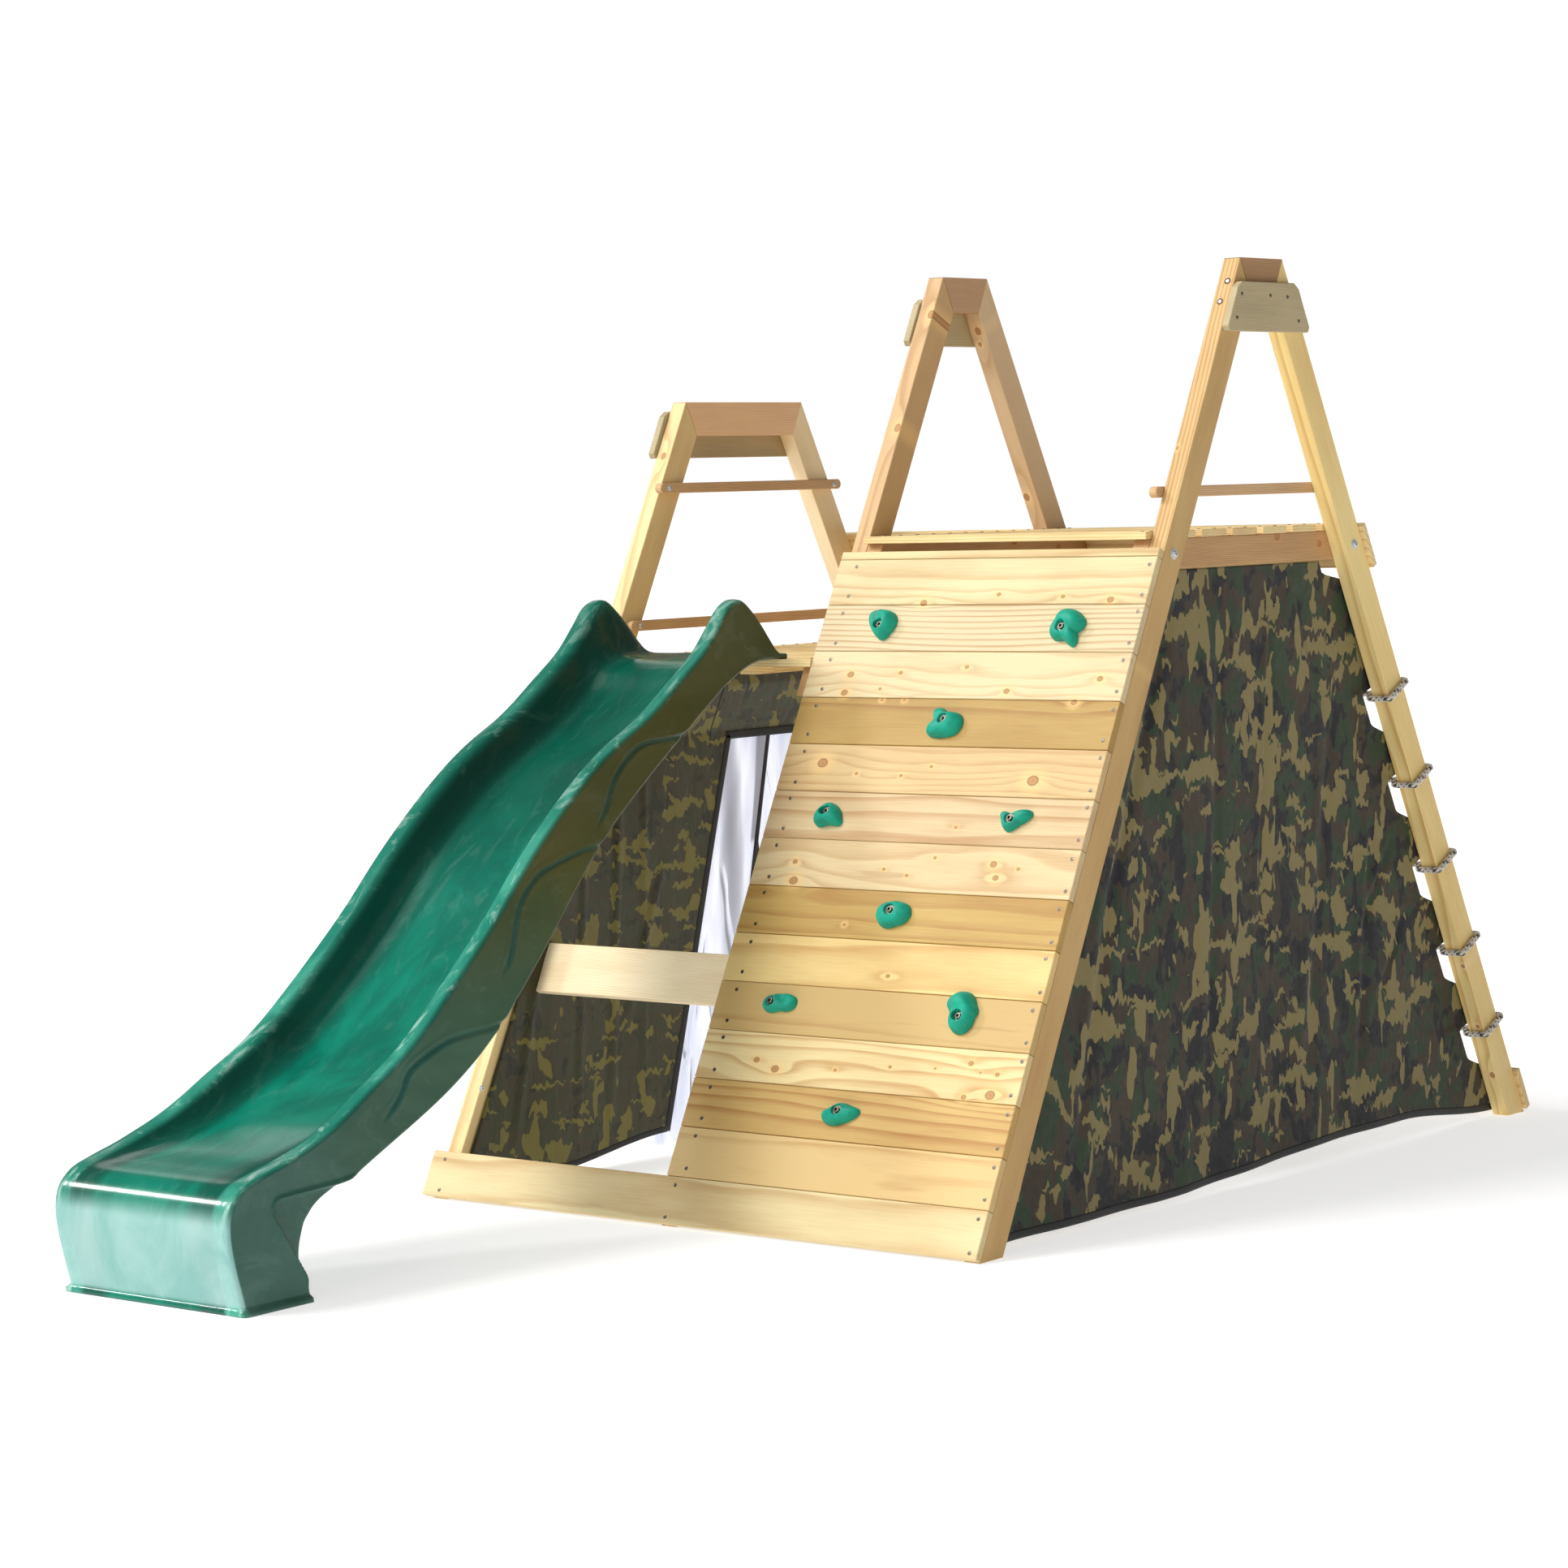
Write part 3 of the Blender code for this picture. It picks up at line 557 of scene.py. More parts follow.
paint(wood("beam_pine", Y_AXIS, Z_AXIS, X_AXIS, TAN, TAN_DARK, ("c", 0.0, 0.1),
           strewn(5, (BASE[1] - 0.4, BASE[1] + 0.4), [(1.38, 1.43), (1.11, 1.16)]), (220, 220)),
      "upper_beam", "lower_beam")
paint(wood("rung_pine", Y_AXIS, Z_AXIS, X_AXIS, srgb(224, 186, 140), srgb(178, 136, 92), None, (),
           (260, 260)), "rung_")
paint(wood("gusset_pine", Y_AXIS, Z_AXIS, X_AXIS, GREY, GREY_DARK, ("c", 0.0, 0.1), (),
           (240, 240), 0.6), "gusset_")
paint(wood("block_pine", Y_AXIS, Z_AXIS, X_AXIS, BROWN, BROWN_DARK, ("c", -1.0, 0.65), (),
           (260, 260), 1.0, 0.58, ((1.0, 1.0, 1.0), (0.60, 0.57, 0.55), (0.52, 0.465, 0.38))), "top_block")


# ---- fixings
zinc = speckled("zinc", (380.0, 3.0, 0.6), srgb(232, 236, 240), srgb(182, 186, 190), (0.24, 0.42), 0.0002,
                Metallic=0.55)
dull_steel = speckled("screw_steel", (420.0, 3.0, 0.6), srgb(132, 126, 116), srgb(84, 78, 70),
                      (0.34, 0.55), 0.0002, Metallic=1.0)
# The counterbore discs: end-grain brown plus painted shade of the hole, since each bore is only a thin disc
# on the leg.
bore_end_grain_and_shade = speckled("sawn_hole_painted_shade", (900.0, 2.0), srgb(120, 82, 48), srgb(84, 56, 32), (0.9, 0.9))

SCREW = [(0.0040, 0.0), (0.0044, 0.0005), (0.0041, 0.0011), (0.0030, 0.0014)]
SCREW_RECESS = (6, 0.0021, 0.0013, 0.0011)
LOWER_SLATS = 9
SCREW_STEP = 0.036            # from a wall board's middle to its two screws
SLAT_INSET = 0.021            # from a slat's end to its screws
screws = Build()


def screw(point, normal, size=1.0):
    screws.lathe(point, normal, [(r * size, h * size) for r, h in SCREW], 18,
                 rng.uniform(0, 1), tuple(v if i == 0 else v * size for i, v in enumerate(SCREW_RECESS)))


for row in range(1, 14):
    for leg in (0.744, -0.044):
        for step in (-SCREW_STEP, SCREW_STEP):
            s = WALL_START + (row + 0.5) * BOARD_PITCH + step
            screw(on_front(leg + rng.uniform(-0.004, 0.004), s + rng.uniform(-0.002, 0.002)), OUT_FRONT)
for leg in (RIGHT_LEG, MIDDLE_LEG, LEFT_LEG):
    for step in (-SCREW_STEP, SCREW_STEP):
        shift = rng.uniform(-0.006, 0.006)
        screw(on_front(leg + shift, WALL_START + 0.5 * BOARD_PITCH + step), OUT_FRONT)
        screw(on_rear(leg + shift, 0.066 + step, BOARD_THICKNESS), OUT_REAR)
        screw(on_rear(leg + shift, 1.571 + step, BOARD_THICKNESS), OUT_REAR)
for name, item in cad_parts.items():
    if name.startswith("upper_slat"):
        low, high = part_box(name)
        for x in (low[0] + SLAT_INSET, high[0] - SLAT_INSET):
            for y in (low[1] + 0.018, high[1] - 0.018):
                screw((x, y, high[2]), Z_AXIS)
low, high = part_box("lower_deck")
for k in range(LOWER_SLATS):
    for x in (low[0] + SLAT_INSET, high[0] - SLAT_INSET):
        for step in (-0.027, 0.027):
            y = low[1] + (k + 0.5) * (high[1] - low[1]) / LOWER_SLATS + step
            screw((x, y, high[2]), Z_AXIS)
GUSSET_FACE, GUSSET_MIDDLE = BASE[0] + 0.0183, 1.934
for y, z in ((-0.111, 0.026), (0.005, 0.024), (0.075, 0.022), (-0.132, -0.026), (0.120, -0.030)):
    screw((GUSSET_FACE, BASE[1] + y, GUSSET_MIDDLE + z), X_AXIS, 0.9)
for node in ("gusset_middle", "gusset_left"):
    low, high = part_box(node)
    wide, mid = high[1] - low[1], (low[2] + high[2]) / 2
    for share, z in ((0.24, 0.026), (0.76, 0.026), (0.14, -0.026), (0.86, -0.026)):
        screw((low[0], low[1] + wide * share, mid + z), -X_AXIS, 0.9)
screws.item("wood_screws", dull_steel, None, True)

BOLT = [(0.0118, 0.0), (0.0121, 0.0008), (0.0118, 0.0016), (0.0078, 0.0018), (0.0076, 0.0042),
        (0.0066, 0.0058), (0.0046, 0.0064)]
BOLT_RECESS = (6, 0.0034, 0.0027, 0.0034)
UPPER_BOLT, LOWER_BOLT = 1.404, 1.135        # heights of the bolts through the deck beams
bolts = Build()
for x, height, face, turn in ((0.0001, UPPER_BOLT, X_AXIS, 0.3), (LEFT_X, LOWER_BOLT, X_AXIS, 0.3),
                              (MIDDLE_X, UPPER_BOLT, X_AXIS, 0.3),
                              (LEFT_X - LEG_WIDTH, LOWER_BOLT, -X_AXIS, 0.1)):
    for side in (-1, 1):
        y = BASE[1] + side * (outer_face(height) - LEG_SLICE / 2)
        bolts.lathe((BASE[0] + x, y, height), face, BOLT, 24, turn, BOLT_RECESS)
for node in ("rung_right", "rung_left_upper", "rung_left_lower"):
    low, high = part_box(node)
    inner, face = (low[0], -X_AXIS) if node == "rung_right" else (high[0], X_AXIS)
    for y in (low[1] + 0.030, high[1] - 0.030):
        bolts.lathe((inner, y, (low[2] + high[2]) / 2), face,
                    [(r * 0.62, h * 0.8) for r, h in BOLT], 20, 0.2, (6, 0.0024, 0.0019, 0.0022))
# Two bolts sunk in the right front leg's top, each in its counterbore.
sunk_spots = [(RIGHT_LEG + shift, (HEIGHT - 0.02) / cos(TILT) - down)
              for shift, down in ((0.004, 0.035), (-0.002, 0.085))]
for x, s in sunk_spots:
    bolts.lathe(on_front(x, s, 0.0002), OUT_FRONT, [(0.0044, 0.0), (0.0046, 0.0007), (0.0038, 0.0012)],
                20, 0.2, (6, 0.0021, 0.0015, 0.0010))
# The screw that holds the left cloth's front corner.
bolts.lathe((BASE[0] + LEFT_X + 0.0050, BASE[1] - 1.0121, 0.2357), X_AXIS,
            [(r * 0.55, h * 0.8) for r, h in BOLT], 20, 0.2, (6, 0.0022, 0.0017, 0.0020))
bolts.item("frame_bolts", zinc, None, True)

# Each counterbore is a thin disc on the leg's face, coloured end-grain brown with painted shade where a real
# hole would be dark.
bores = Build()
for x, s in sunk_spots:
    bores.lathe(on_front(x, s, 0.0), OUT_FRONT, [(0.0074, 0.0), (0.0076, 0.0005), (0.0066, 0.0006)], 22, 0,
                (1, 0.0056, 0.0056, 0.0004))
bores.item("counterbores", bore_end_grain_and_shade, None, True)

# ---- slide
SLIDE_X = BASE[0] + (LEFT_X + MIDDLE_X - LEG_WIDTH) / 2
# Rim y and z, underside y and z, trough depth, from the upper lip to the foot.
STATIONS = (
    (-0.527, 1.196, -0.527, 1.184, 0.000),
    (-0.551, 1.199, -0.556, 1.184, 0.002),
    (-0.580, 1.230, -0.590, 1.184, 0.035),
    (-0.612, 1.267, -0.622, 1.182, 0.072),
    (-0.649, 1.303, -0.655, 1.174, 0.110),
    (-0.684, 1.323, -0.690, 1.160, 0.132),
    (-0.725, 1.309, -0.722, 1.144, 0.130),
    (-0.760, 1.271, -0.750, 1.128, 0.110),
    (-0.816, 1.214, -0.790, 1.101, 0.098),
    (-0.898, 1.156, -0.845, 1.064, 0.090),
    (-1.010, 1.081, -0.932, 1.005, 0.087),
    (-1.148, 1.010, -1.048, 0.922, 0.086),
    (-1.275, 0.920, -1.158, 0.834, 0.086),
    (-1.413, 0.800, -1.270, 0.720, 0.086),
    (-1.517, 0.694, -1.367, 0.613, 0.086),
    (-1.683, 0.548, -1.520, 0.465, 0.086),
    (-1.801, 0.455, -1.640, 0.382, 0.084),
    (-1.918, 0.392, -1.760, 0.321, 0.078),
    (-2.023, 0.333, -1.880, 0.270, 0.062),
    (-2.132, 0.292, -1.985, 0.224, 0.038),
    (-2.224, 0.267, -2.058, 0.193, 0.014),
    (-2.284, 0.246, -2.090, 0.168, 0.000),
    (-2.320, 0.205, -2.107, 0.143, 0.000),
    (-2.322, 0.135, -2.120, 0.087, 0.000),
    (-2.289, 0.000, -2.107, 0.000, 0.000),
)
GROOVES = (
    ((-1.510, 0.575), (-1.477, 0.616), (-1.445, 0.713), (-1.392, 0.766), (-1.342, 0.787),
     (-1.240, 0.811), (-1.163, 0.822), (-1.083, 0.867), (-1.041, 0.906), (-1.013, 0.939)),
    ((-1.885, 0.328), (-1.834, 0.366), (-1.805, 0.410), (-1.756, 0.436), (-1.683, 0.460),
     (-1.612, 0.467), (-1.540, 0.472), (-1.465, 0.491), (-1.412, 0.535), (-1.357, 0.587),
     (-1.308, 0.632)),
    ((-1.194, 0.855), (-1.158, 0.898), (-1.129, 0.956), (-1.075, 1.003), (-1.022, 1.025),
     (-0.915, 1.032), (-0.834, 1.048), (-0.778, 1.080), (-0.720, 1.129), (-0.678, 1.148),
     (-0.636, 1.157)))
PANEL = ((-1.916, 0.234), (-2.027, 0.222), (-2.157, 0.216), (-2.194, 0.210), (-2.204, 0.183),
         (-2.182, 0.148), (-2.133, 0.070), (-2.086, -0.001))


def spline_through(points, count):
    """Catmull-Rom through rows of numbers, evenly spaced by the first two columns' length."""
    points = np.array(points, dtype=float)
    pad = np.vstack([2 * points[0] - points[1], points, 2 * points[-1] - points[-2]])
    fine = []
    for i in range(1, len(pad) - 2):
        p0, p1, p2, p3 = pad[i - 1:i + 3]
        t = np.linspace(0, 1, 24, endpoint=False)[:, None]
        fine.append(0.5 * (2 * p1 + (p2 - p0) * t + (2 * p0 - 5 * p1 + 4 * p2 - p3) * t * t
                           + (3 * p1 - p0 - 3 * p2 + p3) * t ** 3))
    fine = np.vstack(fine + [points[-1:]])
    walk = np.concatenate([[0], np.cumsum(np.linalg.norm(np.diff(fine[:, :2], axis=0), axis=1))])
    even = np.linspace(0, walk[-1], count)
    return np.stack([np.interp(even, walk, fine[:, k]) for k in range(fine.shape[1])], axis=1)


def distance_to(path, y, z):
    """Distance of many points from a polyline in the side view."""
    best = np.full(y.shape, 9.0)
    for (y0, z0), (y1, z1) in zip(path, path[1:]):
        dy, dz = y1 - y0, z1 - z0
        t = np.clip(((y - y0) * dy + (z - z0) * dz) / (dy * dy + dz * dz + 1e-12), 0, 1)
        best = np.minimum(best, np.hypot(y - y0 - t * dy, z - z0 - t * dz))
    return best


def inside(polygon, y, z):
    result = np.zeros(y.shape, dtype=bool)
    for (y0, z0), (y1, z1) in zip(polygon, polygon[1:] + polygon[:1]):
        crosses = (z0 > z) != (z1 > z)
        edge = (y1 - y0) * (z - z0) / (z1 - z0 + 1e-12) + y0
        result ^= crosses & (y < edge)
    return result


def slide_half(z):
    return 0.219 + 0.033 * np.exp(-np.maximum(z - 0.30, 0.0) / 0.25)


def half_section(h, height, depth):
    """x, distance below the rim, and zone (outer side, rim, bed) from the underside's middle round."""
    ro, rb = min(0.011, 0.35 * height), min(0.009, 0.3 * height)
    pts = [(x * (h - rb), height, 0) for x in np.linspace(0, 1, 6, endpoint=False)]
    pts += [(h - rb + rb * sin(t), height - rb + rb * cos(t), 0)
            for t in np.linspace(0, pi / 2, 4, endpoint=False)]
    pts += [(h, q, 0) for q in np.linspace(height - rb, ro, 40, endpoint=False)]
    pts += [(h - ro + ro * cos(t), ro - ro * sin(t), t / (pi / 2))
            for t in np.linspace(0, pi / 2, 6, endpoint=False)]
    pts += [(h - ro - t * (0.034 - ro), -0.0008 * sin(pi * t), 1) for t in np.linspace(0, 1, 4,
                                                                                   endpoint=False)]
    lip = min(1.0, depth / 0.05)
    control = [(0.034, 0.0), (0.0395, 0.035), (0.046, 0.14), (0.054, 0.38), (0.064, 0.66),
               (0.078, 0.88), (0.094, 0.975), (0.112, 1.0)]
    for inset, share in spline_through(control, 18)[:-1]:
        pts.append((h - inset, share * depth, 1 + min(1.0, share * 4)))
    for t in np.linspace(0, 1, 8):
        pts.append(((h - 0.112) * (1 - t), depth + 0.003 * lip * (1 - (1 - t) ** 2), 2))
    return pts


SLIDE_RINGS, EASING = 560, 36
DIMPLE = (0.051, -1.520, 0.585)       # a moulding mark in the bed: x, y, z
FLANGE = 0.009


def build_slide():
    """Rings along the slide, with grooves and a panel in its sides, a dimple and a foot flange."""
    rings = spline_through(STATIONS, SLIDE_RINGS)
    window = np.exp(-(np.arange(-EASING, EASING + 1) / 13.0) ** 2)
    window /= window.sum()
    eased = np.stack([np.convolve(np.pad(rings[:, k], EASING, mode="edge"), window, "valid")
                      for k in range(5)], axis=1)
    walk = np.arange(SLIDE_RINGS)
    share = (smooth(150, 185, walk) * (1 - smooth(455, 480, walk)))[:, None]
    rings = rings * (1 - share) + eased * share
    shape, zones = [], []
    for ry, rz, uy, uz, depth in rings:
        height = max(hypot(uy - ry, uz - rz), 0.004)
        dy, dz = (uy - ry) / height, (uz - rz) / height
        half = half_section(float(slide_half(rz)), height, max(depth, 0.0))
        full = half + [(-x, q, zone) for x, q, zone in reversed(half[1:-1])]
        shape.append([(x, ry + dy * q, rz + dz * q) for x, q, zone in full])
        zones.append([zone for x, q, zone in full])
    shape, zones = np.array(shape), np.array(zones)
    y, z = shape[:, :, 1], shape[:, :, 2]
    side = np.sign(shape[:, :, 0]) * (zones <= 0.02) * (np.abs(shape[:, :, 0]) > slide_half(z) - 0.012)
    dent, line = np.zeros(y.shape), np.zeros(y.shape)
    for groove in GROOVES:
        path = [tuple(p) for p in spline_through(groove, 60)]
        far = distance_to(path, y, z)
        ends = smooth(0.0, 0.05, np.hypot(y - groove[0][0], z - groove[0][1])) \
            * smooth(0.0, 0.05, np.hypot(y - groove[-1][0], z - groove[-1][1]))
        dent += 0.0044 * np.exp(-(far / 0.0045) ** 2) * (0.25 + 0.75 * ends)
        # line marks each groove's middle, for painted shade in the grooves.
        line = np.maximum(line, np.exp(-(far / 0.0046) ** 2) * ends)
        dent -= 0.0012 * np.exp(-((far - 0.011) / 0.006) ** 2) * ends
    edge = [tuple(p) for p in spline_through(PANEL, 80)]
    region = list(edge) + [(-2.02, -0.02), (-1.85, 0.10), (-1.80, 0.28), (-1.88, 0.262)]
    far = distance_to(edge, y, z)
    within = inside(region, y, z)
    dent += within * 0.0170 * smooth(0.0, 0.010, far)
    dent -= 0.0045 * np.exp(-(far / 0.0055) ** 2)
    shape[:, :, 0] -= side * dent
    near = np.linalg.norm(shape - DIMPLE, axis=2)
    shape[:, :, 2] -= (zones > 1.5) * 0.0015 * (np.exp(-(near / 0.010) ** 2)
                                               - 0.5 * np.exp(-((near - 0.017) / 0.005) ** 2))
    lip = FLANGE * (1 - smooth(0.008, 0.016, z))     # a thin flange round the foot
    shape[:, :, 0] += np.sign(shape[:, :, 0]) * lip * (np.abs(shape[:, :, 0]) > slide_half(z) - 0.02)
    shape[:, :, 1] -= lip * (zones > 0.3) - lip * (zones <= 0.02) * (np.abs(shape[:, :, 0]) < 0.24)
    rows, cols = y.shape
    verts = shape.reshape(-1, 3).copy()
    verts[:, 0] += SLIDE_X
    verts[:, 1] += BASE[1]
    faces = tube_faces(rows, cols) + end_faces(rows, cols)
    # foot marks the foot's front face for painted reflection: the pale mint stands for the bright light it
    # reflects.
    foot = (1 - smooth(0.172, 0.218, z)) * (walk > int(np.argmax(rings[:, 1] < 0.25)))[:, None]
    # zone columns: outer side, rim, the foot front's painted reflection, and the grooves' painted shade.
    attribute = np.stack([np.clip(1 - zones, 0, 1), np.clip(1 - np.abs(zones - 1), 0, 1),
                          foot * (zones > 0.3) * smooth(0.012, 0.020, z),
                          line * (zones <= 0.02)], axis=2).reshape(-1, 4)
    return outward(finish_mesh("slide_shell", verts, faces, slide_look(), True,
                               attribute))


def slide_look():
    g = Graph("slide_plastic")
    outer, rim, foot, line = g.attribute("zone")
    height = g.dot(g.place, Z_AXIS)
    swirl = g.noise(g.scaled(g.place, (5.0, 2.2, 3.0)), 1.0, 4.0, 0.6, 1.4)
    vein = g.noise(g.scaled(g.place, (16.0, 5.0, 8.0)), 1.0, 5.0, 0.65, 2.2)
    fleck = g.noise(g.place, 260.0, 3.0, 0.7)
    base = g.mix(g.range(swirl, 0.35, 0.68), srgb(3, 104, 86), srgb(7, 132, 108))
    # olive and dark are the outer sides' colours: painted shade, with the warm wood's reflection painted into
    # the olive.
    olive = g.mix(g.range(swirl, 0.35, 0.65), srgb(60, 72, 38), srgb(74, 80, 42))
    dark = g.mix(g.range(swirl, 0.35, 0.65), srgb(44, 92, 80), srgb(60, 104, 92))
    # Painted shade: the trough's inner walls, away from the bed's middle, are darkened.
    sideways = g.maths("ABSOLUTE", g.add(g.dot(g.place, X_AXIS), -SLIDE_X))
    base = g.mix(g.range(sideways, 0.112, 0.155, 0.0, 0.70), base, srgb(2, 62, 50))
    # Painted shade: the upper slide is darker towards the top.
    base = g.mix(g.range(height, 0.66, 0.95, 0.0, 0.55), base, srgb(2, 74, 60))
    # Painted shade and painted reflection on the outer sides: olive higher up, dark green lower down.
    base = g.mix(outer, base, g.mix(g.range(height, 0.42, 0.85), dark, olive))
    # Painted shade in the grooves of the sides.
    base = g.mix(g.times(line, 0.85), base, srgb(20, 88, 84))
    # The rim is lighter and pale-streaked: marbling in the plastic, with painted highlight along the rim
    # edges.
    base = g.mix(rim, base, g.mix(g.range(swirl, 0.4, 0.62), srgb(28, 126, 106), srgb(64, 158, 136)))
    pale = g.times(g.range(vein, 0.52, 0.68, 0.0, 0.66), g.add(g.times(rim, 0.9), 0.07))
    base = g.mix(pale, base, srgb(176, 214, 200))
    # More painted shade towards the top, over every zone.
    base = g.mix(g.range(height, 0.70, 1.0, 0.0, 0.28), base, srgb(20, 40, 26))
    # Painted reflection: the foot's front face turned pale mint.
    base = g.mix(g.times(foot, 0.80), base, g.mix(g.range(swirl, 0.3, 0.7), srgb(138, 191, 185),
                                                  srgb(173, 211, 207)))
    base = g.mix(g.range(fleck, 0.66, 0.74, 0.0, 0.10), base, srgb(190, 220, 205))
    scuff = g.noise(g.scaled(g.place, (40.0, 6.0, 9.0)), 1.0, 4.0, 0.7)
    grainy = g.noise(g.place, 700.0, 2.0, 0.5)
    rough = g.add(g.range(scuff, 0.3, 0.75, 0.21, 0.29), g.times(outer, 0.14))
    normal = g.bump(g.add(g.times(grainy, 0.3), g.times(swirl, 1.0)), 0.0006, 0.25)
    return g.done(base, rough, normal, Specular_IOR_Level=0.20, Coat_Weight=0.26, Coat_Roughness=0.12)


slide = build_slide()
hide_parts("slide")

# ---- holds
def hold_look(name, tint):
    g = Graph(name)
    fleck = g.noise(g.place, 420.0, 3.0, 0.65)
    cloud = g.noise(g.place, 40.0, 3.0, 0.5, 0.6)
    colour = g.mix(g.range(cloud, 0.3, 0.7), tint[0], tint[1])
    colour = g.mix(g.range(fleck, 0.64, 0.72, 0.0, 0.35), colour, tint[2])
    return g.done(colour, g.range(cloud, 0.3, 0.7, 0.50, 0.62),
                  g.bump(g.noise(g.place, 900.0, 2.0, 0.6), 0.0005, 0.5), Specular_IOR_Level=0.35)


TEAL = hold_look("teal_hold", (srgb(0, 146, 122), srgb(4, 166, 138), srgb(120, 224, 200)))
# Name, x and s up the wall; then in millimetres: middle, height, bolt (x, y, seat), outline radii
# every 15 degrees, and bumps or hollows (x, y, radius, height).
HOLDS = (
    ("hold_wedge", 0.084, 1.4065, (-4, 0), 28, (-3, -8, 13),
     (34, 34, 33, 32, 30, 29, 29, 31, 32, 36, 39, 36, 32, 29, 27, 27, 28, 31, 35, 39, 37, 33, 33, 33),
     ((14, 6, 20, 4), (-12, 8, 15, -9))),
    ("hold_mitten", 0.584, 1.3997, (-4, -2), 30, (-11, -7, 17),
     (38, 41, 39, 37, 37, 37, 38, 39, 40, 38, 34, 34, 37, 40, 41, 39, 34, 30, 29, 39, 51, 43, 28, 31),
     ((16, 14, 22, 5), (-2, -14, 12, -5), (-22, -6, 12, -5))),
    ("hold_trefoil", 0.32, 1.1776, (4, -10), 26, (7, -3, 14),
     (43, 42, 40, 34, 29, 26, 24, 32, 41, 44, 34, 26, 27, 40, 44, 40, 33, 31, 29, 29, 31, 34, 39, 41),
     ((20, 0, 20, 5), (-2, 2, 14, -6), (-14, 26, 10, -5))),
    ("hold_shelf", 0.076, 0.9521, (3, -7), 28, (4, -1, 15),
     (31, 30, 28, 27, 26, 27, 28, 29, 28, 27, 25, 27, 28, 32, 35, 33, 28, 22, 20, 20, 22, 28, 38, 38),
     ((0, -8, 20, 6), (-2, 12, 12, -8))),
    ("hold_bean", 0.582, 0.9599, (-9, -7), 22, (-13, -9, 14),
     (32, 42, 40, 27, 18, 13, 11, 11, 12, 15, 31, 37, 32, 29, 29, 29, 29, 27, 23, 20, 19, 19, 20, 25),
     ((-20, 10, 12, -3), (22, 0, 14, 2))),
    ("hold_pebble", 0.323, 0.7355, (1, -9), 25, (3, -5, 20),
     (42, 41, 39, 34, 30, 28, 26, 26, 27, 30, 33, 38, 39, 39, 36, 35, 33, 30, 28, 27, 27, 30, 34, 38),
     ((0, 0, 30, 4),)),
    ("hold_saddle", 0.082, 0.5179, (4, -7), 20, (-14, -7, 12),
     (42, 42, 34, 28, 23, 19, 19, 19, 21, 22, 28, 35, 41, 41, 36, 30, 23, 19, 17, 17, 18, 24, 30, 39),
     ((2, 0, 7, 5), (16, 2, 13, -8))),
    ("hold_waist", 0.571, 0.5223, (-1, -2), 30, (3, -16, 17),
     (35, 35, 32, 34, 37, 40, 41, 42, 42, 42, 41, 37, 28, 24, 24, 29, 38, 43, 45, 45, 43, 39, 35, 32),
     ((2, 18, 20, 5), (-2, -26, 15, 2), (0, -4, 12, -4))),
    ("hold_leaf", 0.322, 0.2777, (4, -1), 23, (5, 4, 16),
     (43, 48, 34, 28, 26, 23, 23, 21, 21, 22, 24, 30, 42, 42, 38, 32, 27, 24, 22, 20, 21, 22, 26, 31),
     ((6, 0, 16, 4), (-20, 0, 12, -2))),
)
hold_bolts = Build()
HOLD_BOLT = [(0.0098, 0.0), (0.0101, 0.0008), (0.0098, 0.0014), (0.0070, 0.0015), (0.0069, 0.0048),
             (0.0063, 0.0056), (0.0054, 0.0058)]


def build_hold(name, x, s, middle, height, bolt, radii, relief):
    """A moulded grip: a dome over its outline, with bumps, hollows and a seat for its bolt."""
    spokes, rings, growth = 96, 40, 1.09
    turn = np.linspace(0, 2 * pi, spokes, endpoint=False)
    reach = np.interp(turn, np.linspace(0, 2 * pi, len(radii) + 1), (*radii, radii[0]))
    for _ in range(2):
        reach = (np.roll(reach, 1) + 2 * reach + np.roll(reach, -1)) / 4
    share = np.sin(np.linspace(pi / 2, 0, rings + 1))[:-1, None]
    reach = growth * reach
    px = middle[0] + reach * share * np.cos(turn)
    py = middle[1] + reach * share * np.sin(turn)
    pz = height * (1 - share ** 3.6) ** 0.55 + 0 * px
    for bx, by, radius, rise in relief:
        pz += rise * np.exp(-((px - bx) ** 2 + (py - by) ** 2) / radius ** 2) * (1 - share ** 6)
    near = np.hypot(px - bolt[0], py - bolt[1])
    seat = 1 - smooth(10.4, 13.0, near)
    pz = pz * (1 - seat) + bolt[2] * seat
    frame_at = on_front(x, s, BOARD_THICKNESS + 0.0003)
    verts = [frame_at + X_AXIS * (a / 1000) + UP_FRONT * (b / 1000) + OUT_FRONT * (max(c, 0.0) / 1000)
             for a, b, c in zip(px.ravel(), py.ravel(), pz.ravel())]
    top = pz[-1].mean()
    verts.append(frame_at + X_AXIS * (middle[0] / 1000) + UP_FRONT * (middle[1] / 1000)
                 + OUT_FRONT * (top / 1000))
    faces = tube_faces(rings, spokes)
    faces += [((rings - 1) * spokes + k, (rings - 1) * spokes + (k + 1) % spokes, rings * spokes)
              for k in range(spokes)]
    faces.append(tuple(range(spokes))[::-1])
    item = outward(finish_mesh(name + "_body", verts, faces, TEAL))
    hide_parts(name)
    item.modifiers.new("round", "SMOOTH").iterations = 2
    hold_bolts.lathe(frame_at + X_AXIS * (bolt[0] / 1000) + UP_FRONT * (bolt[1] / 1000)
                     + OUT_FRONT * (bolt[2] / 1000 - 0.0003), OUT_FRONT, HOLD_BOLT, 24,
                     rng.uniform(0, 1), (6, 0.0045, 0.0037, 0.0044))


for entry in HOLDS:
    build_hold(*entry)
hold_bolts.item("hold_bolts", dull_steel, None, True)

